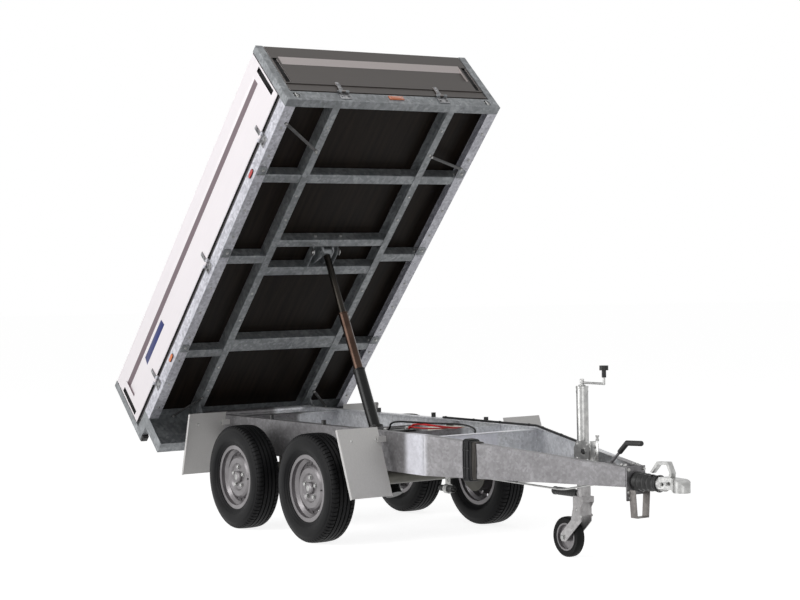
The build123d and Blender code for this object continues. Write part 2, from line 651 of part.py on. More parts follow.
front_beam = box(FRONT_BEAM_U, BED_LENGTH, -BED_HALF, BED_HALF, 0, BED_BEAM)
front_beam -= box(FRONT_BEAM_U - 1, BED_LENGTH - WALL, WALL - BED_HALF, BED_HALF - WALL, WALL, BED_BEAM - WALL)
for y in (71.5 - BED_HALF, BED_HALF - 71.5):
    front_beam += rod_x(y, 40, 26, BED_LENGTH - 22, BED_LENGTH - 1)
    front_beam -= rod_x(y, 40, 22, BED_LENGTH - 19, BED_LENGTH + 2)
for y in FRONT_HINGE_YS:
    front_beam += front_hinge_place(y) * hinge_fixed()
rear_beam = box(REAR_BEAM_U, RAIL_START, -BED_HALF, BED_HALF, -REAR_BEAM_DROP, BED_BEAM)
rear_beam -= box(
    REAR_BEAM_U + WALL, RAIL_START + 1, WALL - BED_HALF, BED_HALF - WALL, WALL - REAR_BEAM_DROP, BED_BEAM - WALL
)
keep_bed("bed_end_beams", front_beam, rear_beam)

long_beams = []
for side in (-1, 1):
    outer = side * LONG_BEAM_Y
    long_beam = box(RAIL_START, FRONT_BEAM_U, outer - side * WALL, outer, 0, BED_BEAM)
    long_beam += box(RAIL_START, FRONT_BEAM_U, outer - side * 45, outer, 0, WALL)
    long_beam += box(RAIL_START, FRONT_BEAM_U, outer - side * 45, outer, BED_BEAM - WALL, BED_BEAM)
    lug_in = outer - side * 13
    lug_out = outer - side * WALL
    lug = plate(
        [
            (PIVOT_U - 55, BED_BEAM - 12), (PIVOT_U + 60, BED_BEAM - 12), (PIVOT_U + 34, PIVOT_N),
            (PIVOT_U - 34, PIVOT_N),
        ],
        min(lug_in, lug_out),
        max(lug_in, lug_out),
    )
    lug += rod_y(PIVOT_U, PIVOT_N, 34, lug_in, lug_out)
    long_beam += lug
    long_beam -= rod_y(PIVOT_U, PIVOT_N, PIVOT_R + RUNNING, outer - side * 60, outer + side * 5)
    long_beams.append(long_beam)
keep_bed("bed_long_beams", long_beams)


def bed_member(u, y0, y1, half=MEMBER_HALF):
    """Cross member pressed to a U with rounded corners, its back down."""
    outside = FilletPolyline(
        (u - half, BED_BEAM - WALL), (u - half, WALL), (u + half, WALL), (u + half, BED_BEAM - WALL), radius=9
    )
    inside = FilletPolyline(
        (u - half + 3, BED_BEAM), (u - half + 3, WALL * 2), (u + half - 3, WALL * 2), (u + half - 3, BED_BEAM), radius=6
    )
    shell = make_face(Curve() + [outside, Line(outside @ 1, outside @ 0)])
    hollow = make_face(Curve() + [inside, Line(inside @ 1, inside @ 0)])
    stand = Plane(origin=(0, y1, 0), x_dir=(1, 0, 0), z_dir=(0, -1, 0))
    return extrude(stand * shell, amount=y1 - y0) - extrude(stand * hollow, amount=y1 - y0)


# Places of the whole members and half their width
FRONT_MEMBER_U = BED_LENGTH - 565
LOW_MEMBER_U = RAM_PIN_U - 147
HIGH_MEMBER_U = RAM_PIN_U + 74
MEMBERS = ((795, 50), (LOW_MEMBER_U, 32), (HIGH_MEMBER_U, 26), (FRONT_MEMBER_U, 32))
RAM_MEMBER_LOW = LOW_MEMBER_U + 32
RAM_MEMBER_HIGH = HIGH_MEMBER_U - 26
members = []
for u in (738, RAM_PIN_U - 51, FRONT_MEMBER_U):
    members.extend(both_sides(bed_member(u, LONG_BEAM_Y, BED_HALF - WALL)))
for u, half in MEMBERS:
    members.append(bed_member(u, WALL - LONG_BEAM_Y, LONG_BEAM_Y - WALL, half))
keep_bed("bed_cross_members", members)

PLATE_N = BED_BEAM - 10
bracket = rod_y(RAM_PIN_U, RAM_PIN_N, RAM_EYE_R, -28, 28)
bracket += rod_y(RAM_PIN_U, RAM_PIN_N, 11, -48, 48)
for side in (-1, 1):
    inner = side * 30
    outer = side * 40
    bracket += plate(
        [
            (RAM_MEMBER_LOW, PLATE_N), (RAM_MEMBER_HIGH, PLATE_N), (RAM_MEMBER_HIGH, 30), (RAM_PIN_U + 24, -10),
            (RAM_PIN_U - 24, -10), (RAM_MEMBER_LOW, 30),
        ],
        min(inner, outer),
        max(inner, outer),
    )
    inner = side * 82
    outer = side * 86
    bracket += plate(
        [
            (RAM_MEMBER_LOW, PLATE_N), (RAM_MEMBER_HIGH, PLATE_N), (RAM_MEMBER_HIGH, 44), (RAM_MEMBER_HIGH - 70, 6),
            (RAM_MEMBER_LOW, 6),
        ],
        min(inner, outer),
        max(inner, outer),
    )
bracket += box(RAM_MEMBER_LOW, RAM_MEMBER_HIGH, -86, 86, PLATE_N - 4, PLATE_N)
keep_bed("ram_bracket", bracket)

FLOOR_TOP = BED_BEAM + FLOOR_THICK
floor_half = BED_HALF - 11.5
tongue_half = BED_HALF - POST - 0.8
floor = box(POST + SEAT, BED_LENGTH - POST - SEAT, -floor_half, floor_half, BED_BEAM, FLOOR_TOP)
floor += box(34, POST + 1, -tongue_half, tongue_half, BED_BEAM, FLOOR_TOP)
floor += box(BED_LENGTH - POST - 1, BED_LENGTH - 31, -tongue_half, tongue_half, BED_BEAM, FLOOR_TOP)
keep_bed("bed_floor", floor)

# Corner posts
post_in = BED_HALF - POST
front_post = box(BED_LENGTH - POST, BED_LENGTH, post_in, BED_HALF, BED_BEAM, BED_HEIGHT)
rear_post = box(0, POST, post_in, BED_HALF, 0, BED_HEIGHT)
rear_post += box(POST, REAR_BEAM_U, post_in, BED_HALF, 0, BED_BEAM - SEAT)
rear_post += rod_y(GATE_U, GATE_N, 6, post_in - 26, post_in + 2)
keep_bed("corner_posts", both_sides(front_post), both_sides(rear_post))

# Lamps
marker_list = []
for u in (683, BED_LENGTH - 557):
    marker = box(u - 32, u + 32, BED_HALF, BED_HALF + 8, 24, 48)
    marker_list.extend(both_sides(marker))
keep_bed("side_markers", marker_list)
lamp = box(REAR_BEAM_U - 26, REAR_BEAM_U, BED_HALF - 191.5, BED_HALF - 21.5, 39 - REAR_BEAM_DROP, 129 - REAR_BEAM_DROP)
keep_bed("rear_lamps", both_sides(lamp))

# Drop sides
BOARD_BOTTOM = FLOOR_TOP + 18
RIM = 4.0


def drop_panel(half, bottom, end_block, latch_in, latch_half):
    """Board along X with its outer face at y = 0, an inset band and a latch slot near each end."""
    outline = [
        (-BOARD_THICK, bottom), (0, bottom), (0, BED_HEIGHT - RIM), (-RIM, BED_HEIGHT),
        (RIM - BOARD_THICK, BED_HEIGHT), (-BOARD_THICK, BED_HEIGHT - RIM),
    ]
    band = [(1, INSET_HIGH + 54), (-INSET_DEPTH, INSET_HIGH), (-INSET_DEPTH, INSET_LOW), (1, INSET_LOW - 11)]
    end = Plane(origin=(-half, 0, 0), x_dir=(0, 1, 0), z_dir=(1, 0, 0))
    panel = extrude(end * make_face(Polyline(*outline, close=True)), amount=2 * half)
    inset_end = Plane(origin=(end_block - half, 0, 0), x_dir=(0, 1, 0), z_dir=(1, 0, 0))
    panel -= extrude(inset_end * make_face(Polyline(*band, close=True)), amount=2 * (half - end_block))
    for x in (latch_in - half, half - latch_in):
        panel -= box(x - latch_half, x + latch_half, -8, 5, LATCH_LOW, LATCH_HIGH)
    return panel


def side_board(side):
    """Side board with its hinge leaves."""
    middle = Plane(origin=(BED_LENGTH / 2, side * BED_HALF, 0), x_dir=(side, 0, 0), z_dir=(0, 0, 1)).location
    board = middle * drop_panel(BED_LENGTH / 2 - POST - 6, BOARD_BOTTOM, 92, 30, 17)
    for u in HINGE_US:
        board += hinge_place(u, side) * hinge_moving()
    return board


keep_bed("right_board", side_board(-1))
keep_bed("left_board", side_board(1))

END_HALF = BED_HALF - POST - 6
front_place = Plane(origin=(BED_LENGTH, 0, 0), x_dir=(0, -1, 0), z_dir=(0, 0, 1)).location
front_board = drop_panel(END_HALF, BED_BEAM + 10, 50, 22, 14)
front_board -= box(-END_HALF - 1, END_HALF + 1, -5, 5, BED_BEAM + 26, BED_BEAM + 70)
front_board = front_place * front_board
for y in FRONT_HINGE_YS:
    front_board += front_hinge_place(y) * hinge_moving()
keep_bed("front_board", front_board)

gate_place = Plane(origin=(3, 0, 0), x_dir=(0, 1, 0), z_dir=(0, 0, 1)).location
gate = gate_place * drop_panel(END_HALF, BED_BEAM - 10, 50, 22, 14)
for side in (-1, 1):
    gate -= rod_y(GATE_U, GATE_N, 6 + RUNNING, side * (END_HALF - 24), side * (END_HALF + 5))
keep_bed("tailgate", gate)

# Telescopic ram, drawn along its own axis from the trunnion
pin_place = bed_point(RAM_PIN_U, 0, RAM_PIN_N)
RAM_VECTOR = Vector(pin_place[0] - TRUNNION_X, 0, pin_place[2] - TRUNNION_Z)
RAM_LENGTH = RAM_VECTOR.length
RAM_PLACE = Plane(origin=(TRUNNION_X, 0, TRUNNION_Z), x_dir=(0, 1, 0), z_dir=RAM_VECTOR).location
ROD_CLOSED_TOP = RAM_LENGTH - RAM_EYE_R - RAM_GAP - 3 * STAGE_TRAVEL
RAM_STAGES = (
    ("ram_barrel", 0, -330, 85, BARREL_R, STAGE_1_R + RAM_GAP, 8),
    ("ram_stage_1", 1, -320, 95, STAGE_1_R, STAGE_2_R + RAM_GAP, 3),
    ("ram_stage_2", 2, -315, 105, STAGE_2_R, ROD_R_TOP + RAM_GAP, 3),
    ("ram_rod", 3, -310, ROD_CLOSED_TOP, ROD_R_TOP, 0, 0),
)
for name, steps, low, high, outside, inside, end in RAM_STAGES:
    lift = steps * STAGE_TRAVEL
    tube = rod_z(0, 0, outside, low + lift, high + lift)
    if inside:
        tube -= rod_z(0, 0, inside, low + lift + end, high + lift + 5)
    if name == "ram_barrel":
        pins = rod_x(0, 0, TRUNNION_R, -BARREL_R - 45, BARREL_R + 45) - rod_z(0, 0, outside - 4, -60, 60)
        tube += pins
    keep(name, RAM_PLACE * tube)


# Shift so that the middle of the length is X = 0, then write the files
low_x = min(node.bounding_box().min.X for node in NODES.values())
high_x = max(node.bounding_box().max.X for node in NODES.values())
SHIFT_X = -(low_x + high_x) / 2

os.makedirs("parts", exist_ok=True)
for name, node in NODES.items():
    export_step(Pos(SHIFT_X, 0, 0) * node, f"parts/{name}.step")
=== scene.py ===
"""Looks of a rear tipper trailer: materials, treads, fastenings, lamps, leads and a studio."""

from __future__ import annotations

import json
import logging
import math
from dataclasses import dataclass, field
from enum import Enum
from typing import Iterable, Sequence

import bmesh
import bpy
from mathutils import Matrix, Vector

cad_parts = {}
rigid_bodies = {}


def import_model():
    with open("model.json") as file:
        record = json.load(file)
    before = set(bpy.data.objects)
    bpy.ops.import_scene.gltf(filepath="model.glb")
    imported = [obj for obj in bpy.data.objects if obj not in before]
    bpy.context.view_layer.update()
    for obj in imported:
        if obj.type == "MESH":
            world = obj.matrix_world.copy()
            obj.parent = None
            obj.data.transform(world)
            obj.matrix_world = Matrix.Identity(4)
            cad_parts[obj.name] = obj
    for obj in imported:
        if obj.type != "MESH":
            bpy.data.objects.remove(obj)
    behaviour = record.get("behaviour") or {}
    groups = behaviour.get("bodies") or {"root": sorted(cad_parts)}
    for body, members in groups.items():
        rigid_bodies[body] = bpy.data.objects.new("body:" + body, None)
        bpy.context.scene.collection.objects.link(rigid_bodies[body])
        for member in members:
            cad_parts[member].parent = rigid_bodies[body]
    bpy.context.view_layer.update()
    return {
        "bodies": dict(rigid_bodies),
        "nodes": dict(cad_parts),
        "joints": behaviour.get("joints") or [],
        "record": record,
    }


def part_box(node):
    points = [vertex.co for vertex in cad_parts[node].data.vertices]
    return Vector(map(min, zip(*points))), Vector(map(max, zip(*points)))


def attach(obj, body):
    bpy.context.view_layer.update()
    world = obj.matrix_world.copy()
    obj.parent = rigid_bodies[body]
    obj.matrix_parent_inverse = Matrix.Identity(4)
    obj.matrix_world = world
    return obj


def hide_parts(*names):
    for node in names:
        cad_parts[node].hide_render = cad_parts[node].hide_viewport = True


LOG = logging.getLogger("trailer")
Pair = tuple[float, float]
Point = tuple[float, float, float]
Colour = tuple[float, float, float]
Socket = bpy.types.NodeSocket
Material = bpy.types.Material

# The bed's tip in the photograph, and the axes of the raised bed
TIP_DEG = 46.256
TIP = math.radians(TIP_DEG)
BED_N = (-math.sin(TIP), 0.0, math.cos(TIP))
BED_U = (math.cos(TIP), 0.0, math.sin(TIP))
# Metres from the trailer's middle to the rails' outer face, and from the bed's heel to its front end
SIDE_FACE = 0.7115
FRONT_FACE = 2.687


class Slot(str, Enum):
    """Material slots of the record."""

    GALVANISED = "galvanised"
    ZINC = "zinc"
    BOARD = "board_aluminium"
    MUDGUARD = "mudguard_aluminium"
    TYRE = "tyre"
    RIM = "rim_silver"
    BLACK_RUBBER = "black_rubber"
    PLY = "ply"
    RAM_BLACK = "ram_black"
    RAM_CHROME = "ram_chrome"
    BLACK_PLASTIC = "black_plastic"
    ORANGE = "orange_lens"
    RED = "red_lens"
    AXLE = "axle_dark"
    JOCKEY_RUBBER = "jockey_rubber"
    CREAM = "tank_cream"


# Frames of reference
@dataclass(frozen=True)
class Datum:
    """Place of the drawing's own zero, midway between the axles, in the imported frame."""

    shift: float

    def point(self, x: float, y: float, z: float) -> Vector:
        """Point of the drawing in metres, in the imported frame."""
        return Vector((x + self.shift, y, z))

    def matrix(self) -> Matrix:
        """Matrix that takes a mesh drawn about the drawing's zero to its place."""
        return Matrix.Translation((self.shift, 0, 0))


@dataclass(frozen=True)
class BedFrame:
    """The raised bed's own axes: u along it, y across it and n up out of its floor."""

    datum: Datum
    tip_deg: float = TIP_DEG
    heel_x: float = -1.438077
    heel_z: float = 0.451997

    @property
    def cos(self) -> float:
        """Cosine of the tip."""
        return math.cos(math.radians(self.tip_deg))

    @property
    def sin(self) -> float:
        """Sine of the tip."""
        return math.sin(math.radians(self.tip_deg))

    def point(self, u: float, y: float, n: float) -> Vector:
        """Point of the bed in metres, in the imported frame."""
        forward, up = u * self.cos - n * self.sin, u * self.sin + n * self.cos
        return self.datum.point(self.heel_x + forward, y, self.heel_z + up)

    def matrix(self) -> Matrix:
        """Matrix that takes a mesh drawn in u, y and n to its place."""
        origin = self.point(0, 0, 0)
        return Matrix.Translation(origin) @ Matrix.Rotation(-math.radians(self.tip_deg), 4, "Y")


class Face(Enum):
    """Side that a small piece looks to, by its own X, Y and Z in the frame it stands in."""

    RIGHT = ((1, 0, 0), (0, 0, 1), (0, -1, 0))
    LEFT = ((-1, 0, 0), (0, 0, 1), (0, 1, 0))
    FRONT = ((0, 1, 0), (0, 0, 1), (1, 0, 0))
    REAR = ((0, -1, 0), (0, 0, 1), (-1, 0, 0))
    UNDER = ((0, 1, 0), (1, 0, 0), (0, 0, -1))

    def at(self, x: float, y: float, z: float) -> Matrix:
        """Matrix that stands a piece on this side at a point."""
        return Matrix.Translation((x, y, z)) @ Matrix(self.value).transposed().to_4x4()


# Finishes
@dataclass(frozen=True)
class Coat:
    """What a piece wears: its material, and the record's slot that it belongs to."""

    material: Material
    slot: Slot


class NodeBoard:
    """Short hand for laying out the nodes of one material."""

    def __init__(self, name: str) -> None:
        """Start an empty material with its shader and output.

        Args:
            name: the material's name.
        """
        self.material = bpy.data.materials.new(name)
        self.material.use_nodes = True
        self.tree = self.material.node_tree
        self.tree.nodes.clear()
        self.output = self.tree.nodes.new("ShaderNodeOutputMaterial")
        self.shader = self.tree.nodes.new("ShaderNodeBsdfPrincipled")
        self.tree.links.new(self.shader.outputs["BSDF"], self.output.inputs["Surface"])
        places = self.tree.nodes.new("ShaderNodeTexCoord")
        self.place = places.outputs["Object"]
        self.normal = places.outputs["Normal"]

    def node(self, kind: str, **values: object) -> bpy.types.Node:
        """Add a node and set its properties.

        Args:
            kind: type of the node.
            values: its properties.

        Returns:
            The node.
        """
        made = self.tree.nodes.new(kind)
        for key, value in values.items():
            setattr(made, key, value)
        return made

    def link(self, out: Socket, into: Socket) -> None:
        """Join two sockets."""
        self.tree.links.new(out, into)

    def stretched(self, scale: Point, turn: Point = (0, 0, 0)) -> Socket:
        """Coordinates of the object, turned and stretched.

        Args:
            scale: factor along each axis.
            turn: turn about each axis in radians, made first.

        Returns:
            The socket that carries them.
        """
        first = self.node("ShaderNodeMapping")
        first.inputs["Rotation"].default_value = turn
        second = self.node("ShaderNodeMapping")
        second.inputs["Scale"].default_value = scale
        self.link(self.place, first.inputs["Vector"])
        self.link(first.outputs["Vector"], second.inputs["Vector"])
        return second.outputs["Vector"]

    def noise(self, scale: float, detail: float = 3.0, at: Socket | None = None) -> Socket:
        """Cloudy noise.

        Args:
            scale: how many clouds a metre.
            detail: octaves.
            at: coordinates, or None for the object's own.

        Returns:
            The socket of its factor.
        """
        made = self.node("ShaderNodeTexNoise")
        made.inputs["Scale"].default_value = scale
        made.inputs["Detail"].default_value = detail
        self.link(at or self.place, made.inputs["Vector"])
        return made.outputs["Fac"]

    def warped(self, reach: float, scale: float) -> Socket:
        """Coordinates of the object pushed about by noise, so that cells lose their straight sides.

        Args:
            reach: how far a point is pushed, in metres.
            scale: clouds a metre.

        Returns:
            The coordinates' socket.
        """
        cloud = self.node("ShaderNodeTexNoise")
        cloud.inputs["Scale"].default_value = scale
        self.link(self.place, cloud.inputs["Vector"])
        scaled = self.node("ShaderNodeVectorMath", operation="SCALE")
        scaled.inputs["Scale"].default_value = reach
        self.link(cloud.outputs["Color"], scaled.inputs[0])
        total = self.node("ShaderNodeVectorMath", operation="ADD")
        self.link(self.place, total.inputs[0])
        self.link(scaled.outputs["Vector"], total.inputs[1])
        return total.outputs["Vector"]

    def cells(self, scale: float, at: Socket | None = None) -> Socket:
        """Flat random grey in each cell of a crystal pattern.

        Args:
            scale: cells a metre.
            at: coordinates, or None for the object's own.

        Returns:
            The grey's socket.
        """
        made = self.node("ShaderNodeTexVoronoi", feature="F1")
        made.inputs["Scale"].default_value = scale
        made.inputs["Randomness"].default_value = 1.0
        self.link(at or self.place, made.inputs["Vector"])
        split = self.node("ShaderNodeSeparateColor")
        self.link(made.outputs["Color"], split.inputs["Color"])
        return split.outputs[0]

    def ramp(self, value: Socket, stops: Sequence[tuple[float, Colour]]) -> Socket:
        """Colours along a value.

        Args:
            value: the socket that drives them.
            stops: place and colour of each stop.

        Returns:
            The colour's socket.
        """
        made = self.node("ShaderNodeValToRGB")
        while len(made.color_ramp.elements) < len(stops):
            made.color_ramp.elements.new(0.5)
        for element, (at, colour) in zip(made.color_ramp.elements, stops):
            element.position = at
            element.color = (*colour, 1)
        self.link(value, made.inputs["Fac"])
        return made.outputs["Color"]

    def spread(self, value: Socket, low: float, high: float) -> Socket:
        """A value of 0 to 1 taken to low to high.

        Args:
            value: the socket of the value.
            low: what 0 turns into.
            high: what 1 turns into.

        Returns:
            The new value's socket.
        """
        made = self.node("ShaderNodeMapRange")
        made.inputs["To Min"].default_value = low
        made.inputs["To Max"].default_value = high
        self.link(value, made.inputs["Value"])
        return made.outputs["Result"]

    def blend(self, share: float, first: Socket, second: Socket) -> Socket:
        """Mean of two values, the second counting by share.

        Args:
            share: weight of the second value.
            first: the first value.
            second: the second value.

        Returns:
            The mean's socket.
        """
        made = self.node("ShaderNodeMix", data_type="FLOAT")
        made.inputs["Factor"].default_value = share
        self.link(first, made.inputs["A"])
        self.link(second, made.inputs["B"])
        return made.outputs["Result"]

    def bump(self, height: Socket, strength: float, depth: float) -> None:
        """Relief over the whole surface.

        Args:
            height: the socket of the height.
            strength: share of the relief that shows.
            depth: depth in metres.
        """
        made = self.node("ShaderNodeBump")
        made.inputs["Strength"].default_value = strength
        made.inputs["Distance"].default_value = depth
        self.link(height, made.inputs["Height"])
        self.link(made.outputs["Normal"], self.shader.inputs["Normal"])

    def along(self, direction: Point, from_normal: bool = False) -> Socket:
        """How far a point, or the surface's own normal, reaches along a direction.

        Args:
            direction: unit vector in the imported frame.
            from_normal: whether the normal is measured and not the place.

        Returns:
            The socket of the length.
        """
        made = self.node("ShaderNodeVectorMath", operation="DOT_PRODUCT")
        made.inputs[1].default_value = direction
        self.link(self.normal if from_normal else self.place, made.inputs[0])
        return made.outputs["Value"]

    def window(self, value: Socket, low: float, high: float, soft: float) -> Socket:
        """One between two values and nothing outside them, with soft edges.

        Args:
            value: the socket of the value.
            low: where the window opens.
            high: where it closes.
            soft: half the width of an edge.

        Returns:
            The window's socket.
        """
        rise = self.node("ShaderNodeMapRange", interpolation_type="SMOOTHSTEP")
        rise.inputs["From Min"].default_value = low - soft
        rise.inputs["From Max"].default_value = low + soft
        fall = self.node("ShaderNodeMapRange", interpolation_type="SMOOTHSTEP")
        fall.inputs["From Min"].default_value = high - soft
        fall.inputs["From Max"].default_value = high + soft
        fall.inputs["To Min"].default_value = 1.0
        fall.inputs["To Max"].default_value = 0.0
        self.link(value, rise.inputs["Value"])
        self.link(value, fall.inputs["Value"])
        both = self.node("ShaderNodeMath", operation="MULTIPLY")
        self.link(rise.outputs["Result"], both.inputs[0])
        self.link(fall.outputs["Result"], both.inputs[1])
        return both.outputs["Value"]

    def larger(self, first: Socket, second: Socket) -> Socket:
        """The larger of two values.

        Args:
            first: the first value.
            second: the second value.

        Returns:
            The larger value's socket.
        """
        made = self.node("ShaderNodeMath", operation="MAXIMUM")
        self.link(first, made.inputs[0])
        self.link(second, made.inputs[1])
        return made.outputs["Value"]

    def tint(self, mask: Socket, under: Socket, over: Socket) -> Socket:
        """One colour over another where the mask is one.

        Args:
            mask: one where the upper colour shows.
            under: the lower colour.
            over: the upper colour.

        Returns:
            The colour's socket.
        """
        made = self.node("ShaderNodeMix", data_type="RGBA")
        self.link(mask, made.inputs["Factor"])
        self.link(under, made.inputs[6])
        self.link(over, made.inputs[7])
        return made.outputs[2]

    def plain(self, **values: float) -> None:
        """Set values that are the same all over the surface."""
        for key, value in values.items():
            self.shader.inputs[key.replace("_", " ").title().replace("Ior", "IOR")].default_value = value


@dataclass(frozen=True)
class Galvanised:
    """Hot-dip zinc with its faint spangle and dull runs, a painted reflection in a band along X and painted
    light on its left side.
    """

    name: str = "hot_dip_zinc"
    dark: Colour = (0.16, 0.17, 0.178)
    mid: Colour = (0.23, 0.242, 0.252)
    light: Colour = (0.38, 0.398, 0.412)
    spangle: float = 60.0
    crystal_share: float = 0.22
    metal: float = 0.6
    # Band along X, in metres, where a painted reflection lightens the zinc, and the colour of that painted
    # reflection
    painted_sheen_from: float = 0.0
    painted_sheen_to: float = 0.0
    painted_sheen: Colour = (0.8, 0.8, 0.86)
    # Painted light: Y beyond which the zinc is lightened as if lit, and that lighter colour
    painted_light_left_from: float = 9.0
    left: Colour = (0.84, 0.85, 0.88)
    rough_low: float = 0.36
    rough_high: float = 0.52
    slot: Slot = Slot.GALVANISED

    def build(self) -> Coat:
        """Make the material.

        Returns:
            The coat that pieces wear.
        """
        board = NodeBoard(self.name)
        crystals = board.cells(self.spangle, board.warped(0.012, 30.0))
        clouds = board.noise(7.0, 6.0)
        patches = board.noise(26.0, 3.0)
        grain = board.noise(190.0, 2.0)
        runs = board.blend(0.45, clouds, patches)
        tone = board.blend(self.crystal_share, runs, crystals)
        colour = board.ramp(tone, [(0.32, self.dark), (0.5, self.mid), (0.72, self.light)])
        # Painted reflection: a lighter band between two places along X
        if self.painted_sheen_to > self.painted_sheen_from:
            painted_sheen_band = board.window(board.along((1.0, 0.0, 0.0)), self.painted_sheen_from, self.painted_sheen_to, 0.03)
            painted_sheen_tone = board.ramp(tone, [(0.3, tuple(0.8 * v for v in self.painted_sheen)), (0.7, self.painted_sheen)])
            colour = board.tint(painted_sheen_band, colour, painted_sheen_tone)
        # Painted light: the left side's zinc lightened as if lit, by place in Y
        if self.painted_light_left_from < 1.0:
            left = board.window(board.along((0.0, 1.0, 0.0)), self.painted_light_left_from, 2.0, 0.02)
            pale = board.ramp(tone, [(0.3, tuple(0.6 * v for v in self.left)), (0.7, self.left)])
            colour = board.tint(left, colour, pale)
        board.link(colour, board.shader.inputs["Base Color"])
        board.link(
            board.spread(board.blend(0.5, crystals, grain), self.rough_low, self.rough_high),
            board.shader.inputs["Roughness"],
        )
        board.plain(metallic=self.metal)
        board.bump(board.blend(0.5, patches, grain), 0.18, 0.0005)
        return Coat(board.material, self.slot)


@dataclass(frozen=True)
class BrightZinc:
    """Bright zinc plate of small fittings."""

    name: str = "bright_zinc"
    light: Colour = (0.5, 0.5, 0.49)
    dark: Colour = (0.34, 0.34, 0.335)
    slot: Slot = Slot.ZINC

    def build(self) -> Coat:
        """Make the material.

        Returns:
            The coat that pieces wear.
        """
        board = NodeBoard(self.name)
        clouds = board.noise(38.0, 4.0)
        board.link(
            board.ramp(clouds, [(0.35, self.dark), (0.7, self.light)]), board.shader.inputs["Base Color"],
        )
        board.link(board.spread(board.noise(90.0, 3.0), 0.22, 0.4), board.shader.inputs["Roughness"])
        board.plain(metallic=0.9)
        board.bump(board.noise(240.0, 2.0), 0.15, 0.0003)
        return Coat(board.material, self.slot)


@dataclass(frozen=True)
class Anodised:
    """Satin anodised section, drawn along the bed, with painted light on the downward-sloping face and the
    end walls of its groove, in a tone given for each board.
    """

    name: str = "anodised_section_painted_groove_shade"
    light: Colour = (0.87, 0.83, 0.85)
    dark: Colour = (0.82, 0.775, 0.8)
    # Colour of the painted light on the groove: painted shade on a lit board, a painted reflection of the
    # floor on a shaded one
    painted_groove_light: Colour | None = None
    facet_from: float = -9.0
    facet_to: float = 9.0
    metal: float = 0.15
    grain_scale: Point = (6.0, 260.0, 260.0)
    painted_end_wall_axis: Point = BED_U
    slot: Slot = Slot.BOARD

    def build(self) -> Coat:
        """Make the material.

        Returns:
            The coat that pieces wear.
        """
        board = NodeBoard(self.name)
        lines = board.noise(1.0, 3.0, board.stretched(self.grain_scale, (0, TIP, 0)))
        clouds = board.noise(2.2, 3.0)
        tone = board.blend(0.35, lines, clouds)
        colour = board.ramp(tone, [(0.3, self.dark), (0.7, self.light)])
        # Painted light: downward-sloping faces within the groove's band, and the groove's end walls, take the
        # other tone
        if self.painted_groove_light is not None:
            painted_slope_mask = board.node("ShaderNodeMath", operation="MULTIPLY")
            board.link(board.window(board.along(BED_N, True), -0.55, -0.1, 0.03), painted_slope_mask.inputs[0])
            board.link(
                board.window(board.along(BED_N), self.facet_from, self.facet_to, 0.0015), painted_slope_mask.inputs[1],
            )
            end = board.node("ShaderNodeMath", operation="ABSOLUTE")
            board.link(board.along(self.painted_end_wall_axis, True), end.inputs[0])
            mask = board.larger(painted_slope_mask.outputs["Value"], board.window(end.outputs["Value"], 0.7, 2.0, 0.05))
            other = board.ramp(lines, [(0.3, tuple(0.88 * v for v in self.painted_groove_light)), (0.7, self.painted_groove_light)])
            colour = board.tint(mask, colour, other)
        board.link(colour, board.shader.inputs["Base Color"])
        board.link(board.spread(lines, 0.38, 0.52), board.shader.inputs["Roughness"])
        board.plain(metallic=self.metal)
        board.bump(lines, 0.12, 0.0002)
        return Coat(board.material, self.slot)


@dataclass(frozen=True)
class Moulded:
    """Rubber or plastic with a fine moulded grain."""

    name: str
    dark: Colour
    light: Colour
    rough_low: float = 0.5
    rough_high: float = 0.7
    grain: float = 300.0
    relief: float = 0.0003
    gloss: float = 0.35
    slot: Slot = Slot.BLACK_PLASTIC

    def build(self) -> Coat:
        """Make the material.

        Returns:
            The coat that pieces wear.
        """
        board = NodeBoard(self.name)
        clouds = board.noise(9.0, 4.0)
        board.link(
            board.ramp(clouds, [(0.3, self.dark), (0.75, self.light)]), board.shader.inputs["Base Color"],
        )
        fine = board.noise(self.grain, 2.0)
        board.link(board.spread(fine, self.rough_low, self.rough_high), board.shader.inputs["Roughness"])
        board.plain(specular_ior_level=self.gloss)
        board.bump(fine, 0.3, self.relief)
        return Coat(board.material, self.slot)


@dataclass(frozen=True)
class Painted:
    """Sprayed paint with slight orange peel."""

    name: str
    dark: Colour
    light: Colour
    metal: float = 0.0
    rough: float = 0.35
    coat: float = 0.3
    gloss: float = 0.5
    slot: Slot = Slot.BLACK_PLASTIC

    def build(self) -> Coat:
        """Make the material.

        Returns:
            The coat that pieces wear.
        """
        board = NodeBoard(self.name)
        clouds = board.noise(12.0, 4.0)
        board.link(
            board.ramp(clouds, [(0.3, self.dark), (0.7, self.light)]), board.shader.inputs["Base Color"],
        )
        board.link(
            board.spread(board.noise(60.0, 3.0), self.rough - 0.06, self.rough + 0.08),
            board.shader.inputs["Roughness"],
        )
        board.plain(
            metallic=self.metal, coat_weight=self.coat, coat_roughness=0.2, specular_ior_level=self.gloss,
        )
        board.bump(board.noise(420.0, 1.0), 0.12, 0.0002)
        return Coat(board.material, self.slot)


@dataclass(frozen=True)
class FacedPly:
    """Dark film-faced plywood with a faint mesh pressed in its face."""

    name: str = "film_faced_ply"
    dark: Colour = (0.006, 0.004, 0.003)
    light: Colour = (0.016, 0.011, 0.008)
    slot: Slot = Slot.PLY

    def build(self) -> Coat:
        """Make the material.

        Returns:
            The coat that pieces wear.
        """
        board = NodeBoard(self.name)
        along = board.stretched((3.0, 40.0, 3.0), (0, TIP, 0))
        grain = board.noise(1.0, 6.0, along)
        board.link(
            board.ramp(grain, [(0.35, self.dark), (0.7, self.light)]), board.shader.inputs["Base Color"],
        )
        board.link(board.spread(grain, 0.34, 0.5), board.shader.inputs["Roughness"])
        board.plain(specular_ior_level=0.08)
        board.bump(board.noise(500.0, 1.0), 0.2, 0.0003)
        return Coat(board.material, self.slot)


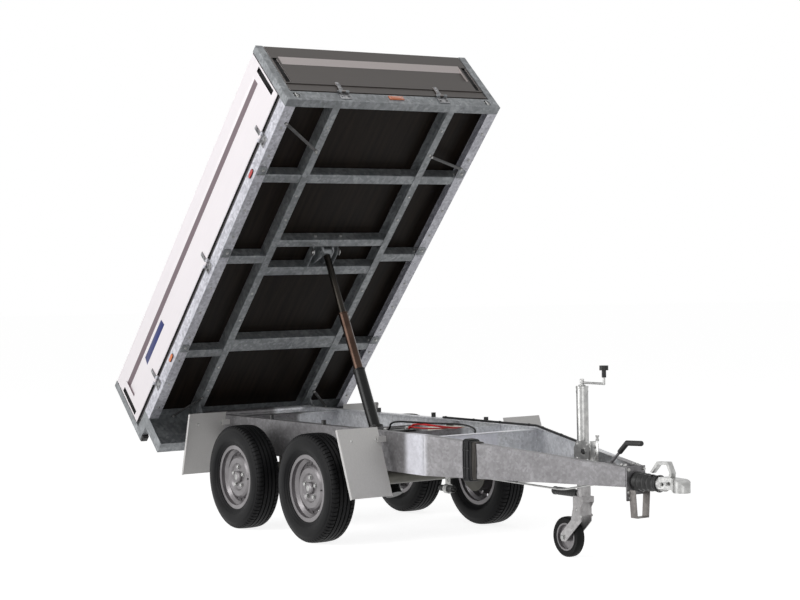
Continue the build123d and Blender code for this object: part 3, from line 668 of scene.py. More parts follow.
@dataclass(frozen=True)
class Lens:
    """Clear plastic over a coloured body, with fine prisms."""

    name: str
    colour: Colour
    dark: Colour
    slot: Slot

    def build(self) -> Coat:
        """Make the material.

        Returns:
            The coat that pieces wear.
        """
        board = NodeBoard(self.name)
        prisms = board.node("ShaderNodeTexVoronoi", feature="F1", distance="CHEBYCHEV")
        prisms.inputs["Scale"].default_value = 260.0
        prisms.inputs["Randomness"].default_value = 0.0
        board.link(board.place, prisms.inputs["Vector"])
        board.link(
            board.ramp(prisms.outputs["Distance"], [(0.1, self.colour), (0.7, self.dark)]),
            board.shader.inputs["Base Color"],
        )
        board.link(board.spread(board.noise(30.0), 0.12, 0.2), board.shader.inputs["Roughness"])
        board.plain(coat_weight=0.6)
        board.bump(prisms.outputs["Distance"], 0.3, 0.0006)
        return Coat(board.material, self.slot)


class Finishes:
    """Every finish of the trailer, made once."""

    def __init__(self) -> None:
        """Make the materials."""
        self.galvanised = Galvanised(metal=0.45).build()
        # Chassis zinc with a painted reflection along X from 0.53 to 0.694 near the drawbar's bend, and
        # painted light on the left beam beyond Y 0.12
        self.chassis_zinc_painted_light = Galvanised(
            "chassis_zinc_painted_light", dark=(0.14, 0.135, 0.14), mid=(0.185, 0.18, 0.186), light=(0.265, 0.26, 0.268),
            spangle=80.0, crystal_share=0.22, metal=0.55, painted_sheen_from=0.53, painted_sheen_to=0.694, painted_light_left_from=0.12,
        ).build()
        self.fitting_zinc = Galvanised(
            "fitting_zinc", dark=(0.3, 0.29, 0.29), mid=(0.4, 0.39, 0.39), light=(0.52, 0.51, 0.51),
            spangle=90.0, crystal_share=0.2, metal=0.6,
        ).build()
        self.dark_zinc = Galvanised(
            "dark_zinc", dark=(0.05, 0.05, 0.05), mid=(0.08, 0.08, 0.08), light=(0.13, 0.13, 0.13),
            spangle=60.0, crystal_share=0.2, metal=0.5,
        ).build()
        self.foot_zinc = Galvanised(
            "foot_zinc", dark=(0.13, 0.12, 0.115), mid=(0.2, 0.185, 0.175), light=(0.3, 0.28, 0.265),
            spangle=60.0, crystal_share=0.2, metal=0.5,
        ).build()
        self.zinc = BrightZinc().build()
        self.hinge_zinc = BrightZinc("hinge_zinc", light=(0.42, 0.42, 0.43), dark=(0.12, 0.12, 0.125)).build()
        # Side boards: painted shade on the groove's downward face and end walls
        self.board = Anodised(painted_groove_light=(0.17, 0.125, 0.14), facet_from=2.012, facet_to=2.052).build()
        # Front board: the pale section darkened all over as painted shade, with a painted reflection of the
        # floor on the groove's downward face and end walls
        self.front_board = Anodised(
            "front_section_painted_shade", light=(0.085, 0.074, 0.068), dark=(0.07, 0.061, 0.056),
            painted_groove_light=(0.62, 0.56, 0.55), painted_end_wall_axis=(0.0, 1.0, 0.0),
        ).build()
        self.rail = Galvanised(
            "rail_zinc", dark=(0.4, 0.4, 0.44), mid=(0.55, 0.55, 0.6), light=(0.72, 0.72, 0.77),
            spangle=70.0, crystal_share=0.3, metal=0.35,
        ).build()
        self.mudguard = Anodised(
            "mudguard_sheet", light=(0.6, 0.59, 0.58), dark=(0.53, 0.52, 0.51), metal=0.3,
            grain_scale=(180.0, 180.0, 6.0), slot=Slot.MUDGUARD,
        ).build()
        self.tyre = Moulded(
            "tyre_rubber", dark=(0.003, 0.003, 0.0035), light=(0.007, 0.007, 0.0075), rough_low=0.4,
            rough_high=0.58, grain=260.0, relief=0.0003, gloss=0.12, slot=Slot.TYRE,
        ).build()
        self.jockey_rubber = Moulded(
            "jockey_rubber", dark=(0.004, 0.004, 0.004), light=(0.01, 0.01, 0.01), rough_low=0.5,
            rough_high=0.7, gloss=0.15, slot=Slot.JOCKEY_RUBBER,
        ).build()
        self.black_rubber = Moulded(
            "black_rubber", dark=(0.004, 0.004, 0.004), light=(0.012, 0.012, 0.012), rough_low=0.25,
            rough_high=0.42, gloss=0.5, slot=Slot.BLACK_RUBBER,
        ).build()
        self.plastic = Moulded(
            "black_plastic", dark=(0.01, 0.01, 0.01), light=(0.026, 0.026, 0.026), rough_low=0.35,
            rough_high=0.5, grain=420.0,
        ).build()
        self.cable = Moulded(
            "cable_jacket", dark=(0.008, 0.008, 0.009), light=(0.02, 0.02, 0.021), rough_low=0.35,
            rough_high=0.5, grain=200.0,
        ).build()
        self.thin_cable = Moulded(
            "thin_cable_jacket", dark=(0.06, 0.055, 0.05), light=(0.12, 0.11, 0.1), rough_low=0.35,
            rough_high=0.5, grain=200.0,
        ).build()
        self.red_lead = Moulded(
            "red_lead", dark=(0.5, 0.01, 0.012), light=(0.62, 0.02, 0.02), rough_low=0.35, rough_high=0.5,
            grain=200.0, slot=Slot.RED,
        ).build()
        self.rim = Painted(
            "rim_silver", dark=(0.17, 0.16, 0.165), light=(0.25, 0.238, 0.245), metal=0.6, rough=0.32,
            coat=0.1, slot=Slot.RIM,
        ).build()
        self.ram_black = Painted(
            "ram_black", dark=(0.003, 0.003, 0.003), light=(0.007, 0.007, 0.007), metal=0.0, rough=0.22,
            coat=0.05, gloss=0.2, slot=Slot.RAM_BLACK,
        ).build()
        self.ram_chrome = Painted(
            "ram_plated", dark=(0.04, 0.025, 0.019), light=(0.065, 0.042, 0.032), metal=1.0, rough=0.2,
            coat=0.0, slot=Slot.RAM_CHROME,
        ).build()
        self.ram_rod = Painted(
            "ram_rod_dark", dark=(0.01, 0.009, 0.007), light=(0.022, 0.018, 0.014), metal=0.8, rough=0.22,
            coat=0.0, slot=Slot.RAM_CHROME,
        ).build()
        self.axle = Painted(
            "axle_olive", dark=(0.07, 0.068, 0.055), light=(0.12, 0.115, 0.095), metal=0.3, rough=0.45,
            coat=0.1, slot=Slot.AXLE,
        ).build()
        self.cream = Moulded(
            "cream_plastic", dark=(0.7, 0.66, 0.56), light=(0.8, 0.77, 0.68), rough_low=0.35, rough_high=0.5,
            grain=300.0, slot=Slot.CREAM,
        ).build()
        self.blue = Painted(
            "blue_plate", dark=(0.01, 0.018, 0.11), light=(0.016, 0.028, 0.16), metal=0.0, rough=0.35,
            coat=0.1, gloss=0.25,
        ).build()
        self.recess = Painted(
            "recess_black", dark=(0.002, 0.002, 0.002), light=(0.005, 0.005, 0.005), metal=0.0, rough=0.5,
            coat=0.0, gloss=0.12,
        ).build()
        self.ply = FacedPly().build()
        self.orange = Lens(
            "orange_lens", colour=(0.85, 0.2, 0.02), dark=(0.5, 0.08, 0.01), slot=Slot.ORANGE,
        ).build()
        self.red = Lens("red_lens", colour=(0.6, 0.01, 0.01), dark=(0.3, 0.005, 0.005), slot=Slot.RED).build()


# Mesh building
class Shape:
    """Closed pieces of one mesh, drawn in metres."""

    def __init__(self) -> None:
        """Start with nothing."""
        self.mesh = bmesh.new()

    def block(
        self, low: Sequence[float], high: Sequence[float], round_by: float = 0.0, steps: int = 2,
        at: Matrix | None = None,
    ) -> Shape:
        """Box between two corners with its edges rounded.

        Args:
            low: lowest corner.
            high: highest corner.
            round_by: radius of the edges in metres.
            steps: faces across a rounded edge.
            at: its place, or None where the corners are already in place.

        Returns:
            This shape.
        """
        part = bmesh.new()
        bmesh.ops.create_cube(part, size=1.0)
        size = [max(b - a, 1e-5) for a, b in zip(low, high)]
        middle = [(a + b) / 2 for a, b in zip(low, high)]
        bmesh.ops.transform(
            part, matrix=Matrix.Translation(middle) @ Matrix.Diagonal((*size, 1)), verts=part.verts,
        )
        if round_by:
            limit = min(round_by, min(size) * 0.45)
            bmesh.ops.bevel(
                part, geom=part.edges[:], offset=limit, segments=steps, profile=0.5, affect="EDGES",
            )
        return self.take(part, at)

    def take(self, part: bmesh.types.BMesh, matrix: Matrix | None = None) -> Shape:
        """Add another mesh to this one and free it.

        Args:
            part: the mesh to add.
            matrix: its place, or None where it stands already.

        Returns:
            This shape.
        """
        if matrix is not None:
            bmesh.ops.transform(part, matrix=matrix, verts=part.verts)
        held = bpy.data.meshes.new("held")
        part.to_mesh(held)
        part.free()
        self.mesh.from_mesh(held)
        bpy.data.meshes.remove(held)
        return self

    def turned(self, profile: Sequence[Pair], at: Matrix, around: int = 32) -> Shape:
        """Solid of revolution about its own Z, from points of radius and height.

        Args:
            profile: points from the axis out and back to it.
            at: its place.
            around: facets round it.

        Returns:
            This shape.
        """
        part = bmesh.new()
        rings = []
        for radius, height in profile:
            if radius <= 1e-7:
                rings.append([part.verts.new((0, 0, height))])
            else:
                rings.append(
                    [
                        part.verts.new(
                            (
                                radius * math.cos(math.tau * i / around),
                                radius * math.sin(math.tau * i / around), height,
                            )
                        )
                        for i in range(around)
                    ]
                )
        for lower, upper in zip(rings, rings[1:]):
            for i in range(around):
                j = (i + 1) % around
                if len(lower) == 1 and len(upper) == 1:
                    continue
                if len(lower) == 1:
                    part.faces.new((lower[0], upper[i], upper[j]))
                elif len(upper) == 1:
                    part.faces.new((lower[i], upper[0], lower[j]))
                else:
                    part.faces.new((lower[i], upper[i], upper[j], lower[j]))
        if len(rings[0]) > 1 and len(rings[-1]) > 1:
            for i in range(around):
                j = (i + 1) % around
                part.faces.new((rings[-1][i], rings[0][i], rings[0][j], rings[-1][j]))
        bmesh.ops.recalc_face_normals(part, faces=part.faces)
        return self.take(part, at)

    def tube(
        self, points: Sequence[Sequence[float]], radius: float, around: int = 10, closed: bool = False,
    ) -> Shape:
        """Round bar along a line of points.

        Args:
            points: the line.
            radius: the bar's radius.
            around: facets round it.
            closed: whether the line is a ring.

        Returns:
            This shape.
        """
        line = [Vector(point) for point in points]
        part = bmesh.new()
        count = len(line)
        turns = [math.tau * k / around for k in range(around)]
        rings = []
        side = None
        for i, here in enumerate(line):
            before = line[i - 1] if i or closed else here
            after = line[(i + 1) % count] if i < count - 1 or closed else here
            ahead = (after - before).normalized()
            if side is None:
                side = ahead.orthogonal().normalized()
            side = (side - ahead * side.dot(ahead)).normalized()
            other = ahead.cross(side)
            rings.append(
                [
                    part.verts.new(here + side * radius * math.cos(turn) + other * radius * math.sin(turn))
                    for turn in turns
                ]
            )
        pairs = list(zip(rings, rings[1:]))
        if closed:
            pairs.append((rings[-1], rings[0]))
        for lower, upper in pairs:
            for k in range(around):
                j = (k + 1) % around
                part.faces.new((lower[k], lower[j], upper[j], upper[k]))
        if not closed:
            part.faces.new(list(reversed(rings[0])))
            part.faces.new(rings[-1])
        bmesh.ops.recalc_face_normals(part, faces=part.faces)
        return self.take(part)

    def hexagon(self, at: Matrix, across: float, height: float) -> Shape:
        """Hexagon head with a chamfered crown and a washer, standing on Z = 0.

        Args:
            at: its place.
            across: width across its flats.
            height: its height.

        Returns:
            This shape.
        """
        reach = across / 2 / math.cos(math.pi / 6)
        self.turned([(0, 0), (reach * 1.22, 0), (reach * 1.22, height * 0.2), (0, height * 0.2)], at, 20)
        return self.turned(
            [
                (0, height * 0.2), (reach, height * 0.2), (reach, height * 0.9), (reach * 0.86, height),
                (0, height),
            ],
            at, 6,
        )

    def dome(self, at: Matrix, radius: float, height: float) -> Shape:
        """Round head of a carriage bolt, standing on Z = 0.

        Args:
            at: its place.
            radius: its radius.
            height: its height.

        Returns:
            This shape.
        """
        return self.turned(
            [
                (0, 0), (radius, 0), (radius, height * 0.25), (radius * 0.86, height * 0.62),
                (radius * 0.55, height * 0.9), (0, height),
            ],
            at, 18,
        )

    def bush(self, at: Matrix, inner: float, outer: float, length: float, around: int = 40) -> Shape:
        """Ring with broken edges, standing on Z = 0.

        Args:
            at: its place.
            inner: radius of its bore.
            outer: its outer radius.
            length: its length.
            around: facets round it.

        Returns:
            This shape.
        """
        chamfer = min(0.0015, length * 0.25, (outer - inner) * 0.45)
        return self.turned(
            [
                (inner, 0), (outer - chamfer, 0), (outer, chamfer), (outer, length - chamfer),
                (outer - chamfer, length), (inner, length),
            ],
            at, around,
        )

    def sheet(self, outline: Sequence[Pair], thick: float, at: Matrix, round_by: float = 0.0) -> Shape:
        """Plate with an outline in its own X and Y, from Z = 0 up.

        Args:
            outline: its corners.
            thick: its thickness.
            at: its place.
            round_by: radius of its edges.

        Returns:
            This shape.
        """
        part = bmesh.new()
        lower = [part.verts.new((x, y, 0)) for x, y in outline]
        upper = [part.verts.new((x, y, thick)) for x, y in outline]
        part.faces.new(list(reversed(lower)))
        part.faces.new(upper)
        count = len(outline)
        for i in range(count):
            j = (i + 1) % count
            part.faces.new((lower[i], lower[j], upper[j], upper[i]))
        bmesh.ops.recalc_face_normals(part, faces=part.faces)
        if round_by:
            bmesh.ops.bevel(
                part, geom=part.edges[:], offset=min(round_by, thick * 0.45), segments=2, profile=0.5,
                affect="EDGES",
            )
        return self.take(part, at)

    def finish(
        self, name: str, body: str, coat: Coat, place: Matrix | None = None, smooth_deg: float = 32.0,
    ) -> bpy.types.Object:
        """Make the object, dress it and let it ride.

        Args:
            name: the object's name.
            body: the body that it moves with.
            coat: what it wears.
            place: matrix that takes the drawing to its place.
            smooth_deg: edges sharper than this stay sharp.

        Returns:
            The object.
        """
        if place is not None:
            bmesh.ops.transform(self.mesh, matrix=place, verts=self.mesh.verts)
        data = bpy.data.meshes.new(name)
        self.mesh.to_mesh(data)
        self.mesh.free()
        data.shade_smooth()
        data.set_sharp_from_angle(angle=math.radians(smooth_deg))
        made = bpy.data.objects.new(name, data)
        bpy.context.scene.collection.objects.link(made)
        data.materials.append(coat.material)
        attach(made, body)
        LOG.info("%s: %d faces on %s", name, len(data.polygons), body)
        return made


def axis_place(origin: Sequence[float], axis: Sequence[float]) -> Matrix:
    """Matrix that stands Z along an axis at an origin."""
    turn = Vector(axis).normalized().to_track_quat("Z", "Y").to_matrix().to_4x4()
    return Matrix.Translation(Vector(origin)) @ turn


def shifted(at: Matrix, x: float, y: float, z: float) -> Matrix:
    """Place moved along its own axes."""
    return at @ Matrix.Translation((x, y, z))


def on_side(at: Matrix, height: float, turn: float, reach: float) -> Matrix:
    """Place on the side of a round bar along Z, looking outward."""
    spot = shifted(at, 0, 0, height) @ Matrix.Rotation(turn, 4, "Z")
    return shifted(spot, reach, 0, 0) @ Matrix.Rotation(math.pi / 2, 4, "Y")


def face_of(side: int) -> Face:
    """Right or left face, of side -1 or 1."""
    return Face.RIGHT if side < 0 else Face.LEFT


# What sub-assemblies share
@dataclass
class BedPieces:
    """Small pieces drawn in the raised bed's own axes."""

    bed: BedFrame
    finishes: Finishes

    def keep(self, shape: Shape, name: str, coat: Coat, body: str = "bed") -> bpy.types.Object:
        """Put a shape in its place, dress it and let it ride on a body."""
        return shape.finish(name, body, coat, self.bed.matrix())


@dataclass
class ChassisPieces:
    """Small pieces drawn about the drawing's zero."""

    datum: Datum
    finishes: Finishes

    def keep(self, shape: Shape, name: str, coat: Coat, body: str = "chassis") -> bpy.types.Object:
        """Put a shape in its place, dress it and let it ride on a body."""
        return shape.finish(name, body, coat, self.datum.matrix())


# Road wheels
@dataclass
class RoadTyre:
    """Radial tyre with ribs, shoulder blocks and sidewall rings."""

    corner: str
    centre: Vector
    finishes: Finishes
    half_width: float = 0.0825
    pitches: int = 72
    slot_drop: float = 0.0048
    slot_lean: float = 0.35

    def surface(self) -> list[tuple[float, float, bool]]:
        """Profile points of across and radius, with a mark where shoulder slots cut.

        Returns:
            The points from the left bead to the right one.
        """
        crown = [
            (0.0, 0.297), (0.0085, 0.2969), (0.009, 0.2905), (0.015, 0.2905), (0.0155, 0.2968),
            (0.0325, 0.2962), (0.033, 0.29), (0.039, 0.29), (0.0395, 0.2957),
        ]
        shoulder = [
            (0.041, 0.2955), (0.050, 0.295), (0.058, 0.2937), (0.064, 0.2908), (0.0685, 0.286),
            (0.0715, 0.280),
        ]
        sidewall = [
            (0.0725, 0.2785), (0.0735, 0.2785), (0.0765, 0.268), (0.0772, 0.2665), (0.0782, 0.2655),
            (0.0802, 0.256), (0.082, 0.244), (0.0825, 0.233), (0.0818, 0.222), (0.0795, 0.211),
            (0.0785, 0.2095), (0.0775, 0.209), (0.0735, 0.2), (0.0690, 0.194), (0.0665, 0.1925),
            (0.0652, 0.1895), (0.0642, 0.1842), (0.0585, 0.1832),
        ]
        stretches = ((crown, False), (shoulder, True), (sidewall, False))
        right = [(w, r, cut) for points, cut in stretches for w, r in points]
        left = [(-w, r, cut) for w, r, cut in reversed(right[1:])]
        return left + right

    def build(self) -> None:
        """Make the tyre in place of its plain ring."""
        part = bmesh.new()
        profile = self.surface()
        pitch = math.tau / self.pitches
        rings = []
        for step in range(self.pitches):
            for share, cut in ((0.0, True), (0.2, True), (0.23, False), (0.97, False)):
                angle = (step + share) * pitch
                ring = []
                for across, reach, slotted in profile:
                    lean = self.slot_lean * pitch * (across / self.half_width) if slotted else 0.0
                    r = reach - (self.slot_drop if (cut and slotted) else 0.0)
                    turn = angle + lean
                    ring.append(part.verts.new((r * math.cos(turn), across, r * math.sin(turn))))
                rings.append(ring)
        count = len(rings)
        for i in range(count):
            ring, after = rings[i], rings[(i + 1) % count]
            for k in range(len(profile) - 1):
                part.faces.new((ring[k], ring[k + 1], after[k + 1], after[k]))
        bmesh.ops.recalc_face_normals(part, faces=part.faces)
        shape = Shape()
        shape.take(part, Matrix.Translation(self.centre))
        seat = [(0.1653, -0.0565), (0.1835, -0.0585), (0.1835, 0.0585), (0.1653, 0.0565)]
        turn = Matrix.Translation(self.centre) @ Matrix.Rotation(-math.pi / 2, 4, "X")
        shape.turned(seat, turn, 72)
        tyre = shape.finish(f"tyre_{self.corner}", f"wheel_{self.corner}", self.finishes.tyre, smooth_deg=40)
        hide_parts(f"wheel_{self.corner}_tyre")


@dataclass
class RoadWheel:
    """Bolts, cap and valve of a pressed rim."""

    corner: str
    centre: Vector
    side: int
    finishes: Finishes
    bolts: int = 5
    bolt_circle: float = 0.056
    face: float = 0.034
    valve_reach: float = 0.15

    def build(self) -> None:
        """Make the small pieces of one wheel."""
        bolts = Shape()
        outward = Vector((0, self.side, 0))
        for step in range(self.bolts):
            turn = math.tau * step / self.bolts + 0.3
            spoke = Vector((math.cos(turn), 0, math.sin(turn))) * self.bolt_circle
            at = self.centre + outward * self.face + spoke
            bolts.hexagon(axis_place(at, outward), 0.019, 0.012)
        bolts.finish(f"wheel_bolts_{self.corner}", f"wheel_{self.corner}", self.finishes.zinc)
        cap = Shape()
        cap.turned(
            [
                (0, 0.0555), (0.012, 0.055), (0.022, 0.0525), (0.0275, 0.048), (0.0285, 0.041),
                (0.0315, 0.0395), (0.0315, 0.036), (0, 0.036),
            ],
            axis_place(self.centre, outward), 40,
        )
        cap.finish(f"wheel_cap_{self.corner}", f"wheel_{self.corner}", self.finishes.zinc)
        valve = Shape()
        foot = self.centre + outward * 0.03 + Vector((self.valve_reach, 0, 0.0))
        valve.turned(
            [
                (0, 0), (0.0055, 0), (0.005, 0.012), (0.0042, 0.02), (0.0042, 0.03), (0.0035, 0.032),
                (0, 0.032),
            ],
            axis_place(foot, outward + Vector((-0.35, 0, 0))), 14,
        )
        valve.finish(f"wheel_valve_{self.corner}", f"wheel_{self.corner}", self.finishes.black_rubber)


# Fittings of the bed and its boards
@dataclass
class BoardLatch:
    """Black moulded latch let into the end of a board: liner, lever and pivot."""

    half: float = 0.017
    low: float = 0.152
    high: float = 0.362
    depth: float = 0.008

    def draw(self, shape: Shape, at: Matrix) -> None:
        """Draw one latch.

        Args:
            shape: the mesh that it joins.
            at: place whose X is across the slot, Y up the board and Z out of its face.
        """
        gap, wall = 0.0003, 0.0016
        low, high, half, depth = self.low + gap, self.high - gap, self.half - gap, self.depth - gap
        shape.block((-half, low, -depth), (half, high, -depth + 0.001), 0.0, at=at)
        for x in (-half, half - wall):
            shape.block((x, low, -depth), (x + wall, high, 0.0006), 0.0004, at=at)
        for y in (low, high - wall):
            shape.block((-half, y, -depth), (half, y + wall, 0.0006), 0.0004, at=at)
        reach = half - 0.004
        lever = [
            (-reach, low + 0.02), (-reach + 0.003, low + 0.008), (reach - 0.003, low + 0.008),
            (reach, low + 0.02), (reach, high - 0.06), (reach - 0.0025, high - 0.02),
            (-reach + 0.0025, high - 0.02), (-reach, high - 0.06),
        ]
        shape.sheet(lever, 0.0045, shifted(at, 0, 0, -depth + 0.001), 0.0015)
        shape.dome(shifted(at, 0, high - 0.036, -depth + 0.0055), 0.0075, 0.002)
        for i in range(5):
            y = low + 0.02 + 0.008 * i
            shape.block(
                (-reach + 0.003, y, -depth + 0.005), (reach - 0.003, y + 0.003, -depth + 0.0066), 0.0007,
                at=at,
            )


@dataclass
class HingeSet:
    """Plates, straps, bolts and pin ends of a board's hinges."""

    leaf: float = 0.003
    out: float = 0.009

    def fixed(self, shape: Shape, at: Matrix) -> None:
        """Draw what is bolted to the bed, with Y up from the pin and Z = 0 on the board's face.

        Args:
            shape: the mesh that it joins.
            at: place of the hinge, with its pin along X.
        """
        outline = [
            (-0.0352, -0.0582), (0.0352, -0.0582), (0.0352, -0.0118), (0.0135, -0.0118), (0.0125, -0.0165),
            (-0.0125, -0.0165), (-0.0135, -0.0118), (-0.0352, -0.0118),
        ]
        shape.sheet(outline, 0.0012, shifted(at, 0, 0, self.leaf + 0.0001), 0.0004)
        for x in (-0.022, 0.022):
            shape.hexagon(shifted(at, x, -0.036, self.leaf + 0.0012), 0.011, 0.0055)
            shape.block(
                (x - 0.0125, -0.0135, self.leaf), (x + 0.0125, -0.0095, self.leaf + 0.0045), 0.0012, at=at,
            )
        for side in (-1, 1):
            turn = Matrix.Rotation(side * math.pi / 2, 4, "Y")
            shape.dome(shifted(at, side * 0.0352, 0, self.out) @ turn, 0.0068, 0.0035)

    def moving(self, shape: Shape, at: Matrix) -> None:
        """Draw what is bolted to the board.

        Args:
            shape: the mesh that it joins.
            at: place of the hinge, with its pin along X.
        """
        outline = [
            (-0.0122, 0.009), (0.0122, 0.009), (0.0122, 0.083), (0.009, 0.0862), (-0.009, 0.0862),
            (-0.0122, 0.083),
        ]
        shape.sheet(outline, 0.0012, shifted(at, 0, 0, self.leaf + 0.0001), 0.0004)
        for x in (-0.0085, 0.0085):
            shape.block(
                (x - 0.0012, 0.012, self.leaf + 0.001), (x + 0.0012, 0.080, self.leaf + 0.0026), 0.0006,
                at=at,
            )
        for y in (0.036, 0.068):
            shape.dome(shifted(at, 0, y, self.leaf + 0.0012), 0.0055, 0.0036)


@dataclass
class BoardFittings(BedPieces):
    """Latches, hinges, lip seals and the bare blue plate of the boards."""

    side_face: float = SIDE_FACE
    front_face: float = FRONT_FACE
    rear_face: float = 0.003
    latch_u: Pair = (0.081, 2.606)
    latch_y: float = 0.6385
    side_hinges: tuple[float, float, float] = (0.446, 1.410, 2.355)
    front_hinges: Pair = (-0.330, 0.330)
    side_pin_n: float = 0.084
    front_pin_n: float = 0.076
    recess: float = 0.0118
    seal_u: Pair = (0.055, 2.632)
    seal_sunk: float = 0.004

    def latches(self) -> None:
        """Let the latches into the boards."""
        table = (
            ("right_board", Face.RIGHT, [(u, -self.side_face, 0.0) for u in self.latch_u]),
            ("left_board", Face.LEFT, [(u, self.side_face, 0.0) for u in self.latch_u]),
            ("front_board", Face.FRONT, [(self.front_face, y, 0.0) for y in (-self.latch_y, self.latch_y)]),
            ("tailgate", Face.REAR, [(self.rear_face, y, 0.0) for y in (-self.latch_y, self.latch_y)]),
        )
        for body, face, points in table:
            shape = Shape()
            for point in points:
                BoardLatch().draw(shape, face.at(*point))
            self.keep(shape, f"latches_{body}", self.finishes.recess, body)

    def hinges(self) -> None:
        """Bolt the hinges to the bed and to the boards."""
        table = (
            ("right_board", Face.RIGHT, [(u, -self.side_face, self.side_pin_n) for u in self.side_hinges]),
            ("left_board", Face.LEFT, [(u, self.side_face, self.side_pin_n) for u in self.side_hinges]),
            ("front_board", Face.FRONT, [(self.front_face, y, self.front_pin_n) for y in self.front_hinges]),
        )
        for body, face, points in table:
            fixed, moving = Shape(), Shape()
            for point in points:
                HingeSet().fixed(fixed, face.at(*point))
                HingeSet().moving(moving, face.at(*point))
            self.keep(fixed, f"hinge_plates_{body}", self.finishes.hinge_zinc)
            self.keep(moving, f"hinge_straps_{body}", self.finishes.hinge_zinc, body)

    def plate(self) -> None:
        """Rivet the bare blue plate in the recess of the right board."""
        shape = Shape()
        outline = [(0.406, 0.2475), (0.7505, 0.2475), (0.744, 0.2995), (0.421, 0.2995)]
        at = Face.RIGHT.at(0, -self.side_face + self.recess, 0)
        shape.sheet(outline, 0.0014, at, 0.0005)
        for u, n in ((0.418, 0.2535), (0.742, 0.2535), (0.737, 0.293), (0.428, 0.293)):
            shape.dome(shifted(at, u, n, 0.0014), 0.0026, 0.001)
        self.keep(shape, "blank_blue_plate", self.finishes.blue, "right_board")

    def seals(self) -> None:
        """Set the black lip seals along the lower edge of the side boards."""
        for body, side in (("right_board", -1), ("left_board", 1)):
            shape = Shape()
            at = face_of(side).at(0, side * (self.side_face - self.seal_sunk), 0)
            low, high = sorted(-side * u for u in self.seal_u)
            shape.block((low, 0.1015, -0.008), (high, 0.105, 0.0015), 0.0012, at=at)
            self.keep(shape, f"lip_seal_{body}", self.finishes.black_rubber, body)

    def build(self) -> None:
        """Make every fitting of the boards."""
        self.latches()
        self.hinges()
        self.plate()
        self.seals()


